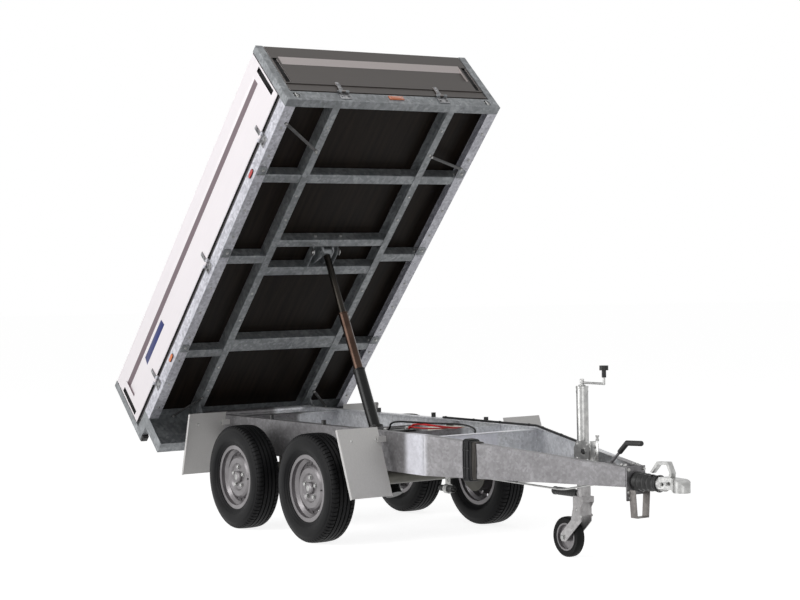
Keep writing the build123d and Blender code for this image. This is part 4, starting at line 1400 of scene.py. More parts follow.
@dataclass
class BedUnderside(BedPieces):
    """Screws, saddle brackets, flat braces, bolts and lashing rings under the raised bed."""

    flange_y: float = 0.679
    first_bolt: float = 0.29
    bolt_pitch: float = 0.2
    outriggers: tuple[float, float, float] = (0.738, 1.504, 2.122)
    rail_bolts_a_side: int = 12
    saddle_y: float = 0.668
    saddle_n: float = 0.036
    saddle_foot_y: float = 0.676
    ram_member_u: float = 1.6552
    ram_member_bolts: Pair = (-0.100, 0.073)
    beam_screws: tuple[float, ...] = (0.42, 0.62, 1.02, 1.24, 1.82, 2.0, 2.32, 2.5)
    long_beam_y: float = 0.386
    ram_pin: Pair = (1.555, 0.013)
    ram_pin_end: float = 0.0864
    cup_y: float = 0.640
    cup_n: float = 0.040
    cup_reach: float = 0.0155

    def rail_bolts(self) -> None:
        """Put floor screws along the rails' lower flanges."""
        shape = Shape()
        for side in (-1, 1):
            for i in range(self.rail_bolts_a_side):
                u = self.first_bolt + self.bolt_pitch * i
                if min(abs(u - v) for v in self.outriggers) > 0.045:
                    shape.hexagon(Face.UNDER.at(u, side * self.flange_y, 0.0), 0.012, 0.006)
        self.keep(shape, "rail_screws", self.finishes.zinc)

    def saddles(self) -> None:
        """Bolt an angle bracket at each outrigger and rail."""
        plates, bolts = Shape(), Shape()
        for side in (-1, 1):
            for u in self.outriggers:
                face = Face.FRONT.at(u + 0.0302, side * self.saddle_y, self.saddle_n)
                plates.sheet(
                    [(-0.03, -0.026), (0.03, -0.026), (0.036, -0.012), (0.036, 0.026), (-0.03, 0.026)],
                    0.004, face, 0.0012,
                )
                foot = Face.UNDER.at(u + 0.03, side * self.saddle_foot_y, -0.0002)
                plates.sheet(
                    [(-0.026, 0.0), (0.026, 0.0), (0.026, 0.05), (0.014, 0.062), (-0.026, 0.062)], 0.004,
                    foot, 0.0012,
                )
                for y, n in ((-0.014, -0.008), (0.016, 0.01)):
                    bolts.hexagon(shifted(face, y, n, 0.004), 0.013, 0.007)
                bolts.hexagon(shifted(foot, 0.0, 0.036, 0.004), 0.013, 0.007)
        self.keep(plates, "saddle_brackets", self.finishes.galvanised)
        self.keep(bolts, "saddle_bolts", self.finishes.zinc)

    def braces(self) -> None:
        """Bolt the flat corner braces between the rails and the long beams."""
        bars, bolts = Shape(), Shape()
        # Both ends of each brace, as u and y
        table = (
            (2.519, -0.658, 2.333, -0.392), (2.222, 0.658, 2.308, 0.405), (0.204, -0.552, 0.352, -0.405),
            (0.204, 0.552, 0.352, 0.405),
        )
        for u0, y0, u1, y1 in table:
            start, end = Vector((u0, y0, 0)), Vector((u1, y1, 0))
            ahead = (end - start).normalized()
            turn = Matrix((ahead, Vector((0, 0, -1)).cross(ahead), Vector((0, 0, -1)))).transposed().to_4x4()
            at = Matrix.Translation(start + Vector((0, 0, -0.0003))) @ turn
            length = (end - start).length
            outline = [(-0.012, -0.005), (-0.006, -0.009), (length + 0.006, -0.009), (length + 0.012, -0.005),
                       (length + 0.012, 0.005), (length + 0.006, 0.009), (-0.006, 0.009), (-0.012, 0.005)]
            bars.sheet(outline, 0.003, at, 0.0008)
            for x in (0.0, length):
                bolts.hexagon(shifted(at, x, 0, 0.003), 0.011, 0.006)
        self.keep(bars, "corner_braces", self.finishes.dark_zinc)
        self.keep(bolts, "brace_bolts", self.finishes.zinc)

    def beam_bolts(self) -> None:
        """Put the ram bracket's bolts through the middle member and screws along the long beams."""
        shape = Shape()
        for y in self.ram_member_bolts:
            shape.hexagon(Face.FRONT.at(self.ram_member_u, y, 0.042), 0.016, 0.009)
        for side in (-1, 1):
            for u in self.beam_screws:
                shape.hexagon(Face.UNDER.at(u, side * self.long_beam_y, 0.0), 0.011, 0.0055)
        for side in (-1, 1):
            at = face_of(side).at(self.ram_pin[0], side * self.ram_pin_end, self.ram_pin[1])
            shape.bush(at, 0.0, 0.021, 0.004)
            shape.dome(shifted(at, 0, 0, 0.004), 0.0115, 0.006)
        self.keep(shape, "beam_bolts", self.finishes.zinc)

    def rings(self) -> None:
        """Set a pressed cup rim, a ring and its bar in each lashing recess of the front beam."""
        cups, bars = Shape(), Shape()
        for side in (-1, 1):
            at = Face.FRONT.at(FRONT_FACE, side * self.cup_y, self.cup_n)
            cups.turned(
                [
                    (0.0205, -0.0165), (0.0212, -0.0005), (0.0228, 0.0012), (0.0262, 0.0012),
                    (0.0268, 0.0002), (0.0222, -0.0004), (0.0216, -0.0165),
                ],
                at, 36,
            )
            turns = [math.tau * k / 24 for k in range(24)]
            ring = [
                at @ Vector((math.cos(turn) * self.cup_reach, math.sin(turn) * self.cup_reach, -0.007))
                for turn in turns
            ]
            bars.tube(ring, 0.0028, 8, True)
            bars.tube([at @ Vector((0, y, -0.004)) for y in (-0.0208, 0.0208)], 0.004, 12)
        self.keep(cups, "lashing_cups", self.finishes.galvanised)
        self.keep(bars, "lashing_rings", self.finishes.zinc)

    def build(self) -> None:
        """Make every piece of the underside."""
        self.rail_bolts()
        self.saddles()
        self.braces()
        self.beam_bolts()
        self.rings()


@dataclass
class PostCaps(BedPieces):
    """Zinc caps on the corner posts and black plugs in the feet of the rear ones."""

    wide: float = 0.045
    out: float = SIDE_FACE
    far_post: float = 2.642
    hollow: float = 0.044
    top: float = 0.467

    def build(self) -> None:
        """Cap the posts."""
        feet, heads = Shape(), Shape()
        for side in (-1, 1):
            low, high = sorted((side * (self.out - self.wide), side * self.out))
            for u in (0.0, self.far_post):
                heads.block(
                    (u + 0.001, low + 0.001, self.top), (u + self.hollow, high - 0.001, self.top + 0.0035),
                    0.0015,
                )
            feet.block((0.0005, low + 0.0005, -0.014), (0.0445, high - 0.0005, -0.0002), 0.003)
            feet.block((0.006, low + 0.006, -0.0195), (0.039, high - 0.006, -0.012), 0.003)
        self.keep(heads, "post_heads", self.finishes.zinc)
        self.keep(feet, "post_feet", self.finishes.black_rubber)


@dataclass
class SignalLenses(BedPieces):
    """Side markers, the orange reflector of the front beam and the rear lamps."""

    front_marker_u: float = 2.130
    rear_marker_u: float = 0.683
    marker_n: float = 0.036
    reflector_at: Point = (2.6872, 0.010, 0.046)
    lamp_at: Point = (0.115, 0.605, -0.125)
    field_step: float = 0.053

    def rounded(self, wide: float, high: float, radius: float, steps: int = 6) -> list[Pair]:
        """Outline of a rectangle with round corners about zero.

        Args:
            wide: its width.
            high: its height.
            radius: radius of its corners.
            steps: sides of each corner.

        Returns:
            Its points.
        """
        points = []
        for sx, sy, start in ((1, 1, 0.0), (-1, 1, 0.5), (-1, -1, 1.0), (1, -1, 1.5)):
            for k in range(steps + 1):
                turn = math.pi * (start + 0.5 * k / steps)
                x = sx * (wide / 2 - radius) + radius * math.cos(turn)
                y = sy * (high / 2 - radius) + radius * math.sin(turn)
                points.append((x, y))
        return points

    def markers(self) -> None:
        """Make the red front markers and the orange rear ones on black bases."""
        base = Shape()
        table = (
            ("front", self.front_marker_u, self.finishes.red),
            ("rear", self.rear_marker_u, self.finishes.orange),
        )
        for name, u, coat in table:
            lens = Shape()
            for side in (-1, 1):
                at = face_of(side).at(u, side * SIDE_FACE, self.marker_n)
                base.sheet(self.rounded(0.064, 0.026, 0.0125), 0.003, at, 0.001)
                lens.sheet(self.rounded(0.058, 0.022, 0.0108), 0.0055, shifted(at, 0, 0, 0.003), 0.0022)
            piece = self.keep(lens, f"side_markers_{name}", coat)
            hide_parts("side_markers")
        self.keep(base, "side_marker_bases", self.finishes.plastic)

    def reflector(self) -> None:
        """Screw the orange reflector to the front beam."""
        at = Face.FRONT.at(*self.reflector_at)
        lens = Shape()
        lens.sheet(self.rounded(0.098, 0.031, 0.004), 0.005, at, 0.0018)
        lens.sheet(self.rounded(0.072, 0.022, 0.003), 0.001, shifted(at, 0, 0, 0.005), 0.0004)
        self.keep(lens, "front_reflector", self.finishes.orange)
        screws = Shape()
        for y in (-0.043, 0.043):
            screws.dome(shifted(at, y, 0, 0.005), 0.0028, 0.0014)
        self.keep(screws, "reflector_screws", self.finishes.zinc)

    def lamps(self) -> None:
        """Build the rear lamps of a black body and lenses in three fields."""
        body, red, orange, clear = Shape(), Shape(), Shape(), Shape()
        for side in (-1, 1):
            at = Face.REAR.at(self.lamp_at[0], side * self.lamp_at[1], self.lamp_at[2])
            body.sheet(self.rounded(0.168, 0.088, 0.012), 0.016, at, 0.003)
            out = -side
            front = shifted(at, 0, 0, 0.0155)
            red.sheet(self.rounded(0.052, 0.078, 0.006), 0.009, front, 0.003)
            for lens, up in ((red, -0.0205), (clear, 0.0205)):
                lens.sheet(
                    self.rounded(0.046, 0.036, 0.005), 0.008, shifted(front, -self.field_step * out, up, 0),
                    0.0028,
                )
            orange.sheet(self.rounded(0.048, 0.078, 0.006), 0.009, shifted(front, 0.054 * out, 0, 0), 0.003)
        piece = self.keep(body, "rear_lamp_bodies", self.finishes.plastic)
        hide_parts("rear_lamps")
        self.keep(red, "rear_lamp_red", self.finishes.red)
        self.keep(orange, "rear_lamp_orange", self.finishes.orange)
        self.keep(clear, "rear_lamp_clear", self.finishes.cream)

    def build(self) -> None:
        """Make every lens."""
        self.markers()
        self.reflector()
        self.lamps()


@dataclass
class RamTrim(BedPieces):
    """Gland nuts, wipers, foot ring and oil port of the telescopic ram."""

    foot: Point = (0.158, 0.0, 0.500)
    pin: Pair = (1.555, 0.013)
    foot_ring_at: float = -0.3302
    port_at: float = -0.296
    port_reach: float = 0.0448

    def build(self) -> None:
        """Trim each stage in its own body."""
        foot = self.bed.datum.point(*self.foot)
        head = self.bed.point(self.pin[0], 0.0, self.pin[1])
        along = axis_place(foot, head - foot)
        # Body, inner radius, outer radius, place along the ram, length and coat
        table = (
            ("ram_barrel", 0.0346, 0.0475, 0.062, 0.0225, self.finishes.ram_black),
            ("ram_stage_1", 0.0276, 0.0362, 0.4355, 0.009, self.finishes.ram_black),
            ("ram_stage_2", 0.0206, 0.0292, 0.7950, 0.009, self.finishes.ram_chrome),
        )
        for body, inner, outer, start, length, coat in table:
            ring = Shape()
            ring.bush(shifted(along, 0, 0, start), inner, outer, length, 48)
            if body == "ram_barrel":
                for k in range(4):
                    turn = math.tau * k / 4 + 0.6
                    ring.bush(
                        on_side(along, start + length / 2, turn, outer - 0.0006), 0.0, 0.0036, 0.0012, 16,
                    )
                ring.bush(shifted(along, 0, 0, self.foot_ring_at), 0.0446, 0.0478, 0.012, 48)
            ring.finish(f"{body}_gland", body, coat)
            wiper = Shape()
            wiper.bush(shifted(along, 0, 0, start + length), inner, inner + 0.0042, 0.0008, 48)
            wiper.finish(f"{body}_wiper", body, self.finishes.black_rubber)
        port = Shape()
        spot = on_side(along, self.port_at, math.pi, self.port_reach)
        port.bush(spot, 0.0, 0.013, 0.006, 24)
        port.hexagon(shifted(spot, 0, 0, 0.006), 0.019, 0.012)
        port.finish("ram_port", "ram_barrel", self.finishes.zinc)


# Fittings of the chassis and drawbar
@dataclass
class CableWinding(ChassisPieces):
    """Trailer lead stowed in turns round the right drawbar beam, held by two ties.

    Each size of the beam is a value at its bend and how much it changes up to its end.
    """

    first: float = 1.424
    pitch: float = 0.0088
    thick: int = 6
    thin: int = 3
    bend: float = 1.167
    end: float = 2.356
    outer: Pair = (-0.3885, 0.3285)
    low: Pair = (0.406, 0.012)
    high: Pair = (0.614, -0.103)
    depth: Pair = (0.050, -0.010)
    tie_x: float = 1.445
    tie_z: Pair = (0.46, 0.55)
    lead_radius: float = 0.0044
    second_turns: int = 4

    def share(self, x: float) -> float:
        """How far a place lies from the beam's bend to its end."""
        return (x - self.bend) / (self.end - self.bend)

    def outline(self, x: float, grow: float, sway: float) -> list[Point]:
        """Round-cornered loop about the beam.

        Args:
            x: place along the drawbar.
            grow: gap from the beam to the lead's middle line.
            sway: how far its sides lean along the beam.

        Returns:
            The loop's points.
        """
        outer, low, high, depth = (
            start + self.share(x) * run for start, run in (self.outer, self.low, self.high, self.depth)
        )
        low, high = low - grow, high + grow
        y0, y1 = outer - grow, outer + depth + grow
        radius = grow + 0.003
        points: list[Point] = []
        corners = (
            (y1 - radius, high - radius, 0.0), (y0 + radius, high - radius, 0.5),
            (y0 + radius, low + radius, 1.0), (y1 - radius, low + radius, 1.5),
        )
        for y, z, start in corners:
            for k in range(6):
                turn = math.pi * (start + 0.1 * k)
                here = z + radius * math.sin(turn)
                lean = sway * math.sin((here - low) / (high - low) * math.pi)
                points.append((x + lean, y + radius * math.cos(turn), here))
            if start in (0.5, 1.5):
                ends = (points[-1][2], low + radius if start == 0.5 else high - radius)
                for k in (1, 2, 3):
                    here = ends[0] + (ends[1] - ends[0]) * k / 4
                    lean = sway * math.sin((here - low) / (high - low) * math.pi)
                    points.append((x + lean, points[-1][1], here))
        return points

    def build(self) -> None:
        """Wind the lead."""
        black, grey, ties = Shape(), Shape(), Shape()
        for i in range(self.thick):
            sway = 0.0022 * math.sin(2.3 * i)
            black.tube(self.outline(self.first + self.pitch * i, 0.0048, sway), self.lead_radius, 10, True)
        for i in range(self.second_turns):
            loop = self.outline(
                self.first + self.lead_radius + self.pitch * i, 0.0125, -0.003 * math.cos(1.7 * i),
            )
            black.tube(loop, self.lead_radius, 10, True)
        for i in range(self.thin):
            loop = self.outline(self.first + 0.0535 + 0.0065 * i, 0.0036, 0.004 * (i - 1))
            grey.tube(loop, 0.0030, 10, True)
        piece = self.keep(black, "lead_turns", self.finishes.cable)
        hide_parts("cable_winding")
        self.keep(grey, "lead_turns_thin", self.finishes.thin_cable)
        for z in self.tie_z:
            outer = self.outer[0] + self.share(self.tie_x) * self.outer[1] - 0.018
            ties.block((1.418, outer - 0.0012, z), (1.475, outer + 0.0008, z + 0.0045), 0.0005)
            ties.block((1.440, outer - 0.0045, z - 0.0015), (1.447, outer - 0.0008, z + 0.006), 0.001)
        self.keep(ties, "lead_ties", self.finishes.plastic)


@dataclass
class LoomClips(ChassisPieces):
    """Clips that hold the loom on the left beam."""

    corners: tuple[Point, ...] = ((0.300, 0.3505, 0.6203), (1.167, 0.3505, 0.6203), (1.790, 0.1784, 0.5665))
    rear_shares: tuple[float, ...] = (0.03, 0.34, 0.62, 0.92)
    front_shares: tuple[float, ...] = (0.12, 0.5, 0.93)

    def build(self) -> None:
        """Clip the loom down."""
        start, bend, end = (Vector(corner) for corner in self.corners)
        spots = [(start.lerp(bend, t), bend - start) for t in self.rear_shares]
        spots += [(bend.lerp(end, t), end - bend) for t in self.front_shares]
        bands, bolts = Shape(), Shape()
        for point, ahead in spots:
            along = axis_place(point, ahead)
            bands.bush(shifted(along, 0, 0, -0.006), 0.0061, 0.0082, 0.012, 20)
            foot = Matrix.Translation(point + Vector((0, 0.014, -0.0058)))
            bands.block((-0.006, -0.010, 0.0), (0.006, 0.010, 0.002), 0.0008, at=foot)
            bolts.dome(shifted(foot, 0, 0.003, 0.002), 0.0045, 0.0028)
        self.keep(bands, "loom_clips", self.finishes.plastic)
        self.keep(bolts, "loom_clip_screws", self.finishes.zinc)


@dataclass
class TrailerPlug(ChassisPieces):
    """Ribbed plug of the trailer lead, parked in its holder."""

    x: float = 1.216
    y: float = -0.330
    z: float = 0.346
    ribs: int = 10
    pin_circle: float = 0.0085
    pin_foot: float = 0.108
    holder_bolt_x: float = 1.290
    holder_bolt_z: float = 0.388

    def build(self) -> None:
        """Make the plug in place of its plain form."""
        along = axis_place((self.x, self.y, self.z), (1, 0, 0))
        shape = Shape()
        profile = [
            (0, 0), (0.0085, 0.0), (0.0095, 0.002), (0.0095, 0.006), (0.013, 0.0075), (0.015, 0.012),
            (0.015, 0.034), (0.0138, 0.037), (0.0138, 0.040), (0.0172, 0.046), (0.0188, 0.050),
            (0.0188, 0.096), (0.0176, 0.0975), (0.0176, 0.1005), (0.0188, 0.102), (0.0188, 0.1205),
            (0.0176, 0.1228), (0.0145, 0.1228), (0.0145, 0.108), (0, 0.108),
        ]
        shape.turned(profile, along, 40)
        for k in range(self.ribs):
            turn = Matrix.Rotation(math.tau * k / self.ribs, 4, "Z")
            shape.block((0.0142, -0.0014, 0.013), (0.0163, 0.0014, 0.033), 0.0006, at=along @ turn)
        piece = self.keep(shape, "plug_body", self.finishes.plastic)
        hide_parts("trailer_plug")
        pins = Shape()
        pin = [(0, 0), (0.0016, 0), (0.0016, 0.011), (0.0011, 0.0125), (0, 0.0125)]
        for k in range(6):
            turn = Matrix.Rotation(math.tau * k / 6, 4, "Z")
            pins.turned(pin, shifted(along @ turn, self.pin_circle, 0, self.pin_foot), 10)
        pins.turned(pin, shifted(along, 0, 0, self.pin_foot), 10)
        self.keep(pins, "plug_pins", self.finishes.zinc)
        lug = Shape()
        lug.hexagon(Face.RIGHT.at(self.holder_bolt_x, self.y - 0.0062, self.holder_bolt_z), 0.010, 0.005)
        self.keep(lug, "plug_holder_bolt", self.finishes.zinc)


@dataclass
class PowerUnit(ChassisPieces):
    """Caps, terminals and leads of the battery, pump and oil tank."""

    lid_top: float = 0.5945
    terminal_x: float = 0.585
    terminal_y: Pair = (-0.235, -0.095)
    stud_x: Pair = (0.712, 0.748)
    pump_face: float = 0.7002
    motor_face: float = 0.7852
    band_x: Pair = (0.7655, 0.696)
    motor: Pair = (0.175, 0.492)
    filler: Point = (0.535, 0.230, 0.5935)
    filler_radii: Pair = (0.0203, 0.0212)
    filler_ribs: int = 48

    def lead(self, name: str, points: Sequence[Point], radius: float, coat: Coat) -> None:
        """Bend one lead as a smooth round line.

        Args:
            name: its name.
            points: control points in the drawing's frame.
            radius: half its thickness.
            coat: what it wears.
        """
        curve = bpy.data.curves.new(name, "CURVE")
        curve.dimensions = "3D"
        curve.bevel_depth = radius
        curve.bevel_resolution = 3
        curve.use_fill_caps = True
        line = curve.splines.new("NURBS")
        line.points.add(len(points) - 1)
        for point, place in zip(line.points, points):
            point.co = (*self.datum.point(*place), 1)
        line.order_u = 3
        line.use_endpoint_u = True
        line.resolution_u = 8
        made = bpy.data.objects.new(name, curve)
        bpy.context.scene.collection.objects.link(made)
        curve.materials.append(coat.material)
        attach(made, "chassis")
        LOG.info("%s: lead of %d points", name, len(points))

    def battery(self) -> None:
        """Lid, vent caps, terminals and hold-down bar of the battery."""
        lid, posts = Shape(), Shape()
        lid.block((0.434, -0.266, 0.5895), (0.616, -0.064, self.lid_top), 0.002)
        for k in range(6):
            lid.bush(Matrix.Translation((0.470, -0.245 + 0.032 * k, self.lid_top)), 0.0, 0.0105, 0.0035, 24)
        lid.block((0.500, -0.268, 0.594), (0.520, -0.062, 0.5985), 0.0015)
        self.keep(lid, "battery_lid", self.finishes.plastic)
        for y in self.terminal_y:
            posts.turned(
                [(0, 0), (0.0095, 0), (0.0085, 0.016), (0, 0.016)],
                Matrix.Translation((self.terminal_x, y, self.lid_top)), 20,
            )
            posts.bush(Matrix.Translation((self.terminal_x, y, 0.5975)), 0.0088, 0.0145, 0.010, 24)
            posts.hexagon(Face.FRONT.at(0.5985, y, 0.6025), 0.010, 0.006)
        self.keep(posts, "battery_terminals", self.finishes.zinc)

    def pump(self) -> None:
        """Studs and bolts of the pump, and bands of its motor."""
        studs, cap = Shape(), Shape()
        for x in self.stud_x:
            studs.turned(
                [(0, 0), (0.004, 0), (0.004, 0.014), (0, 0.014)],
                Matrix.Translation((x, self.motor[0], 0.5755)), 14,
            )
            studs.hexagon(Matrix.Translation((x, self.motor[0], 0.5765)), 0.011, 0.006)
        for y, z in ((0.125, 0.54), (0.225, 0.54), (0.125, 0.445), (0.225, 0.445)):
            studs.hexagon(Face.FRONT.at(self.pump_face, y, z), 0.012, 0.007)
        for k in range(2):
            turn = math.pi * k + 0.5
            y, z = self.motor[0] + 0.04 * math.cos(turn), self.motor[1] + 0.04 * math.sin(turn)
            studs.dome(Face.FRONT.at(self.motor_face, y, z), 0.0045, 0.003)
        self.keep(studs, "pump_studs", self.finishes.zinc)
        for x, outer, wide in zip(self.band_x, (0.0568, 0.0562), (0.018, 0.010)):
            cap.bush(axis_place((x, *self.motor), (1, 0, 0)), 0.0552, outer, wide, 48)
        self.keep(cap, "motor_bands", self.finishes.plastic)

    def tank(self) -> None:
        """Ribbed filler cap and mould seam of the oil tank."""
        cap, seam = Shape(), Shape()
        outline = []
        for k in range(self.filler_ribs):
            turn, reach = math.tau * k / self.filler_ribs, self.filler_radii[k % 2]
            outline.append((reach * math.cos(turn), reach * math.sin(turn)))
        cap.sheet(outline, 0.0125, Matrix.Translation(self.filler), 0.0008)
        self.keep(cap, "tank_filler_cap", self.finishes.plastic)
        seam.block((0.4994, 0.178, 0.420), (0.6406, 0.1805, 0.5928), 0.0006)
        self.keep(seam, "tank_seam", self.finishes.cream)

    def build(self) -> None:
        """Make the small pieces and the leads."""
        self.battery()
        self.pump()
        self.tank()
        self.lead(
            "lead_red",
            [
                (0.6045, -0.095, 0.603), (0.628, -0.095, 0.606), (0.690, -0.128, 0.628),
                (0.760, -0.125, 0.634), (0.828, -0.090, 0.628), (0.842, -0.030, 0.617),
                (0.815, 0.060, 0.606), (0.770, 0.130, 0.600), (0.748, 0.162, 0.590), (0.748, 0.175, 0.588),
            ],
            0.0055, self.finishes.red_lead,
        )
        self.lead(
            "lead_red_thin",
            [
                (0.6045, -0.090, 0.599), (0.640, -0.110, 0.612), (0.715, -0.175, 0.622),
                (0.790, -0.165, 0.618), (0.820, -0.105, 0.612), (0.800, -0.010, 0.606),
                (0.745, 0.090, 0.603), (0.712, 0.160, 0.590), (0.712, 0.175, 0.588),
            ],
            0.0038, self.finishes.red_lead,
        )
        self.lead(
            "lead_black",
            [
                (0.6045, -0.235, 0.603), (0.632, -0.238, 0.610), (0.668, -0.262, 0.640),
                (0.690, -0.235, 0.652), (0.740, -0.160, 0.646), (0.800, -0.080, 0.638),
                (0.838, 0.020, 0.632), (0.850, 0.110, 0.622), (0.820, 0.200, 0.592), (0.790, 0.212, 0.560),
                (0.757, 0.212, 0.545), (0.7055, 0.212, 0.545),
            ],
            0.0052, self.finishes.cable,
        )


@dataclass
class MudguardBolts(ChassisPieces):
    """Bolts through the ends of the mudguards."""

    bolt_y: Pair = (0.446, 0.599)
    bolt_down: float = 0.068
    ends: tuple[tuple[float, ...], ...] = (
        (0.779, 0.638, 0.913, 0.285, 1), (-0.868, 0.638, -0.974, 0.271, -1),
    )

    def build(self) -> None:
        """Bolt the mudguards' ends, each given by its top x and z, foot x and z, and way it looks."""
        bolts = Shape()
        for x0, z0, x1, z1, way in self.ends:
            down = Vector((x1 - x0, 0, z1 - z0)).normalized()
            out = Vector((-down.z, 0, down.x)) if way > 0 else Vector((down.z, 0, -down.x))
            for side in (-1, 1):
                for y in self.bolt_y:
                    spot = Vector((x0, side * y, z0)) + down * self.bolt_down
                    bolts.dome(axis_place(spot + out * 0.0003, out), 0.0075, 0.004)
                    bolts.hexagon(axis_place(spot - out * 0.0032, -out), 0.012, 0.006)
        self.keep(bolts, "mudguard_bolts", self.finishes.zinc)


@dataclass
class JockeyTrim(ChassisPieces):
    """Clamp cheek, bolts, hub and collars of the jockey wheel."""

    column_at: Point = (1.836, 0.115, 0.0)
    column_radius: float = 0.0301
    axle_at: Point = (1.710, 0.115, 0.1025)
    handle_at: Point = (1.790, 0.115, 0.328)
    cheek_face: float = 0.0865
    toggle_x: float = 1.880
    toggle_z: float = 0.545
    rib_at: tuple[float, ...] = (-0.0125, -0.0045, 0.0045, 0.0125)
    clamp_x: float = 1.966
    clamp_bolt_z: tuple[float, ...] = (0.518, 0.546, 0.574)

    def clamp(self) -> None:
        """Bolt the clamp's outer cheek and its toggle to the drawbar."""
        cheek, bolts = Shape(), Shape()
        at = Face.RIGHT.at(0, self.cheek_face, 0)
        outline = [
            (1.9275, 0.498), (1.9275, 0.596), (1.934, 0.602), (1.985, 0.598), (1.992, 0.590), (1.992, 0.500),
            (1.985, 0.492), (1.934, 0.492),
        ]
        cheek.sheet(outline, 0.005, at, 0.0015)
        cheek.block((1.9265, 0.0812, 0.494), (1.9315, 0.118, 0.600), 0.0012)
        self.keep(cheek, "jockey_clamp_cheek", self.finishes.zinc)
        for z in self.clamp_bolt_z:
            bolts.hexagon(Face.RIGHT.at(self.clamp_x, 0.0813, z), 0.013, 0.007)
        for x, z in ((1.835, 0.582), (1.835, 0.510), (1.912, 0.582), (1.912, 0.506)):
            bolts.dome(Face.RIGHT.at(x, 0.0778, z), 0.0065, 0.004)
        bolts.turned(
            [
                (0, 0), (0.009, 0), (0.009, 0.010), (0.0065, 0.013), (0.0065, 0.020), (0.010, 0.023),
                (0.010, 0.030), (0, 0.031),
            ],
            Matrix.Translation((self.clamp_x, 0.099, 0.601)), 24,
        )
        bolts.bush(Face.RIGHT.at(self.toggle_x, 0.078, self.toggle_z), 0.0162, 0.0205, 0.003, 32)
        self.keep(bolts, "jockey_clamp_bolts", self.finishes.zinc)
        toggle = Shape()
        toggle.turned(
            [(0, 0), (0.0128, 0), (0.0140, 0.002), (0.0140, 0.007), (0.0115, 0.0095), (0, 0.0105)],
            Face.RIGHT.at(self.toggle_x, 0.083, self.toggle_z), 6,
        )
        self.keep(toggle, "jockey_clamp_knob", self.finishes.plastic)

    def column(self) -> None:
        """Collars of the column and the crank's boss."""
        shape = Shape()
        at = Matrix.Translation(self.column_at)
        shape.bush(shifted(at, 0, 0, 0.858), self.column_radius, 0.0318, 0.011, 40)
        shape.bush(shifted(at, 0, 0, 0.8695), 0.0104, 0.0175, 0.006, 32)
        shape.hexagon(shifted(at, 0, 0, 0.899), 0.017, 0.006)
        for turn in (0.6, 3.9):
            shape.dome(on_side(at, 0.842, turn, self.column_radius), 0.004, 0.002)
        self.keep(shape, "jockey_collars", self.finishes.zinc)

    def wheel(self) -> None:
        """Hub nuts, fork bolts and the tyre's ribs."""
        fork, hub, tread = Shape(), Shape(), Shape()
        x0, y0, z0 = self.axle_at
        for side, y in ((-1, 0.0788), (1, 0.1512)):
            face = face_of(side)
            fork.hexagon(face.at(x0, y, z0), 0.019, 0.010)
            for x, z in ((1.850, 0.221), (1.822, 0.250), (1.781, 0.146)):
                fork.dome(face.at(x, y, z), 0.0072, 0.004)
            hub.bush(face.at(x0, y0 + side * 0.022, z0), 0.0105, 0.0235, 0.0022, 32)
        self.keep(fork, "jockey_fork_bolts", self.finishes.zinc, "jockey_fork")
        self.keep(hub, "jockey_hub_rings", self.finishes.zinc, "jockey_wheel")
        spin = axis_place(self.axle_at, (0, 1, 0))
        for across in self.rib_at:
            crown = 0.1026 - 0.18 * max(0.0, abs(across) - 0.009)
            foot, top = crown - 0.002, crown - 0.0002
            tread.turned(
                [
                    (foot, across - 0.0026), (top, across - 0.0022), (top, across + 0.0022),
                    (foot, across + 0.0026),
                ],
                spin, 64,
            )
        self.keep(tread, "jockey_tyre_ribs", self.finishes.jockey_rubber, "jockey_wheel")

    def handle(self) -> None:
        """Make the fork's rubber handle in place of its plain bar."""
        shape = Shape()
        along = axis_place(self.handle_at, (-1, 0, 0))
        profile = [(0, 0), (0.0165, 0), (0.019, 0.003), (0.0192, 0.022)]
        for k in range(9):
            start = 0.030 + 0.0145 * k
            profile += [
                (0.0198, start), (0.0208, start + 0.003), (0.0208, start + 0.008), (0.0196, start + 0.011),
            ]
        profile += [(0.0195, 0.170), (0.0215, 0.176), (0.0215, 0.186), (0.017, 0.193), (0, 0.195)]
        shape.turned(profile, along, 36)
        piece = self.keep(shape, "jockey_handle", self.finishes.plastic, "jockey_fork")
        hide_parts("jockey_grip")

    def build(self) -> None:
        """Make every piece."""
        self.clamp()
        self.column()
        self.wheel()
        self.handle()


@dataclass
class CouplingTrim(ChassisPieces):
    """Bolts of the drawbar head and coupling, and bands of the bellows."""

    plate_x: float = 2.3642
    plate_bolt_y: float = 0.0475
    plate_bolt_z: Pair = (0.499, 0.392)
    strap_x: Pair = (2.300, 2.330)
    band_x: Pair = (2.3685, 2.5285)
    band_z: float = 0.444

    def build(self) -> None:
        """Bolt the drawbar's head."""
        shape = Shape()
        for side in (-1, 1):
            for z in self.plate_bolt_z:
                shape.hexagon(Face.FRONT.at(self.plate_x, side * self.plate_bolt_y, z), 0.014, 0.008)
            face = face_of(side)
            for x, z in ((2.575, 0.447), (2.615, 0.452)):
                shape.hexagon(face.at(x, side * 0.0352, z), 0.013, 0.007)
        shape.hexagon(Face.FRONT.at(self.plate_x, -0.042, 0.366), 0.012, 0.007)
        for x in self.strap_x:
            for y in (-0.036, 0.036):
                shape.hexagon(Matrix.Translation((x, y, 0.5165)), 0.014, 0.008)
        self.keep(shape, "drawbar_head_bolts", self.finishes.zinc)
        bands = Shape()
        for x in self.band_x:
            bands.bush(axis_place((x, 0, self.band_z), (1, 0, 0)), 0.0385, 0.0412, 0.005, 48)
        self.keep(bands, "bellows_bands", self.finishes.black_rubber)


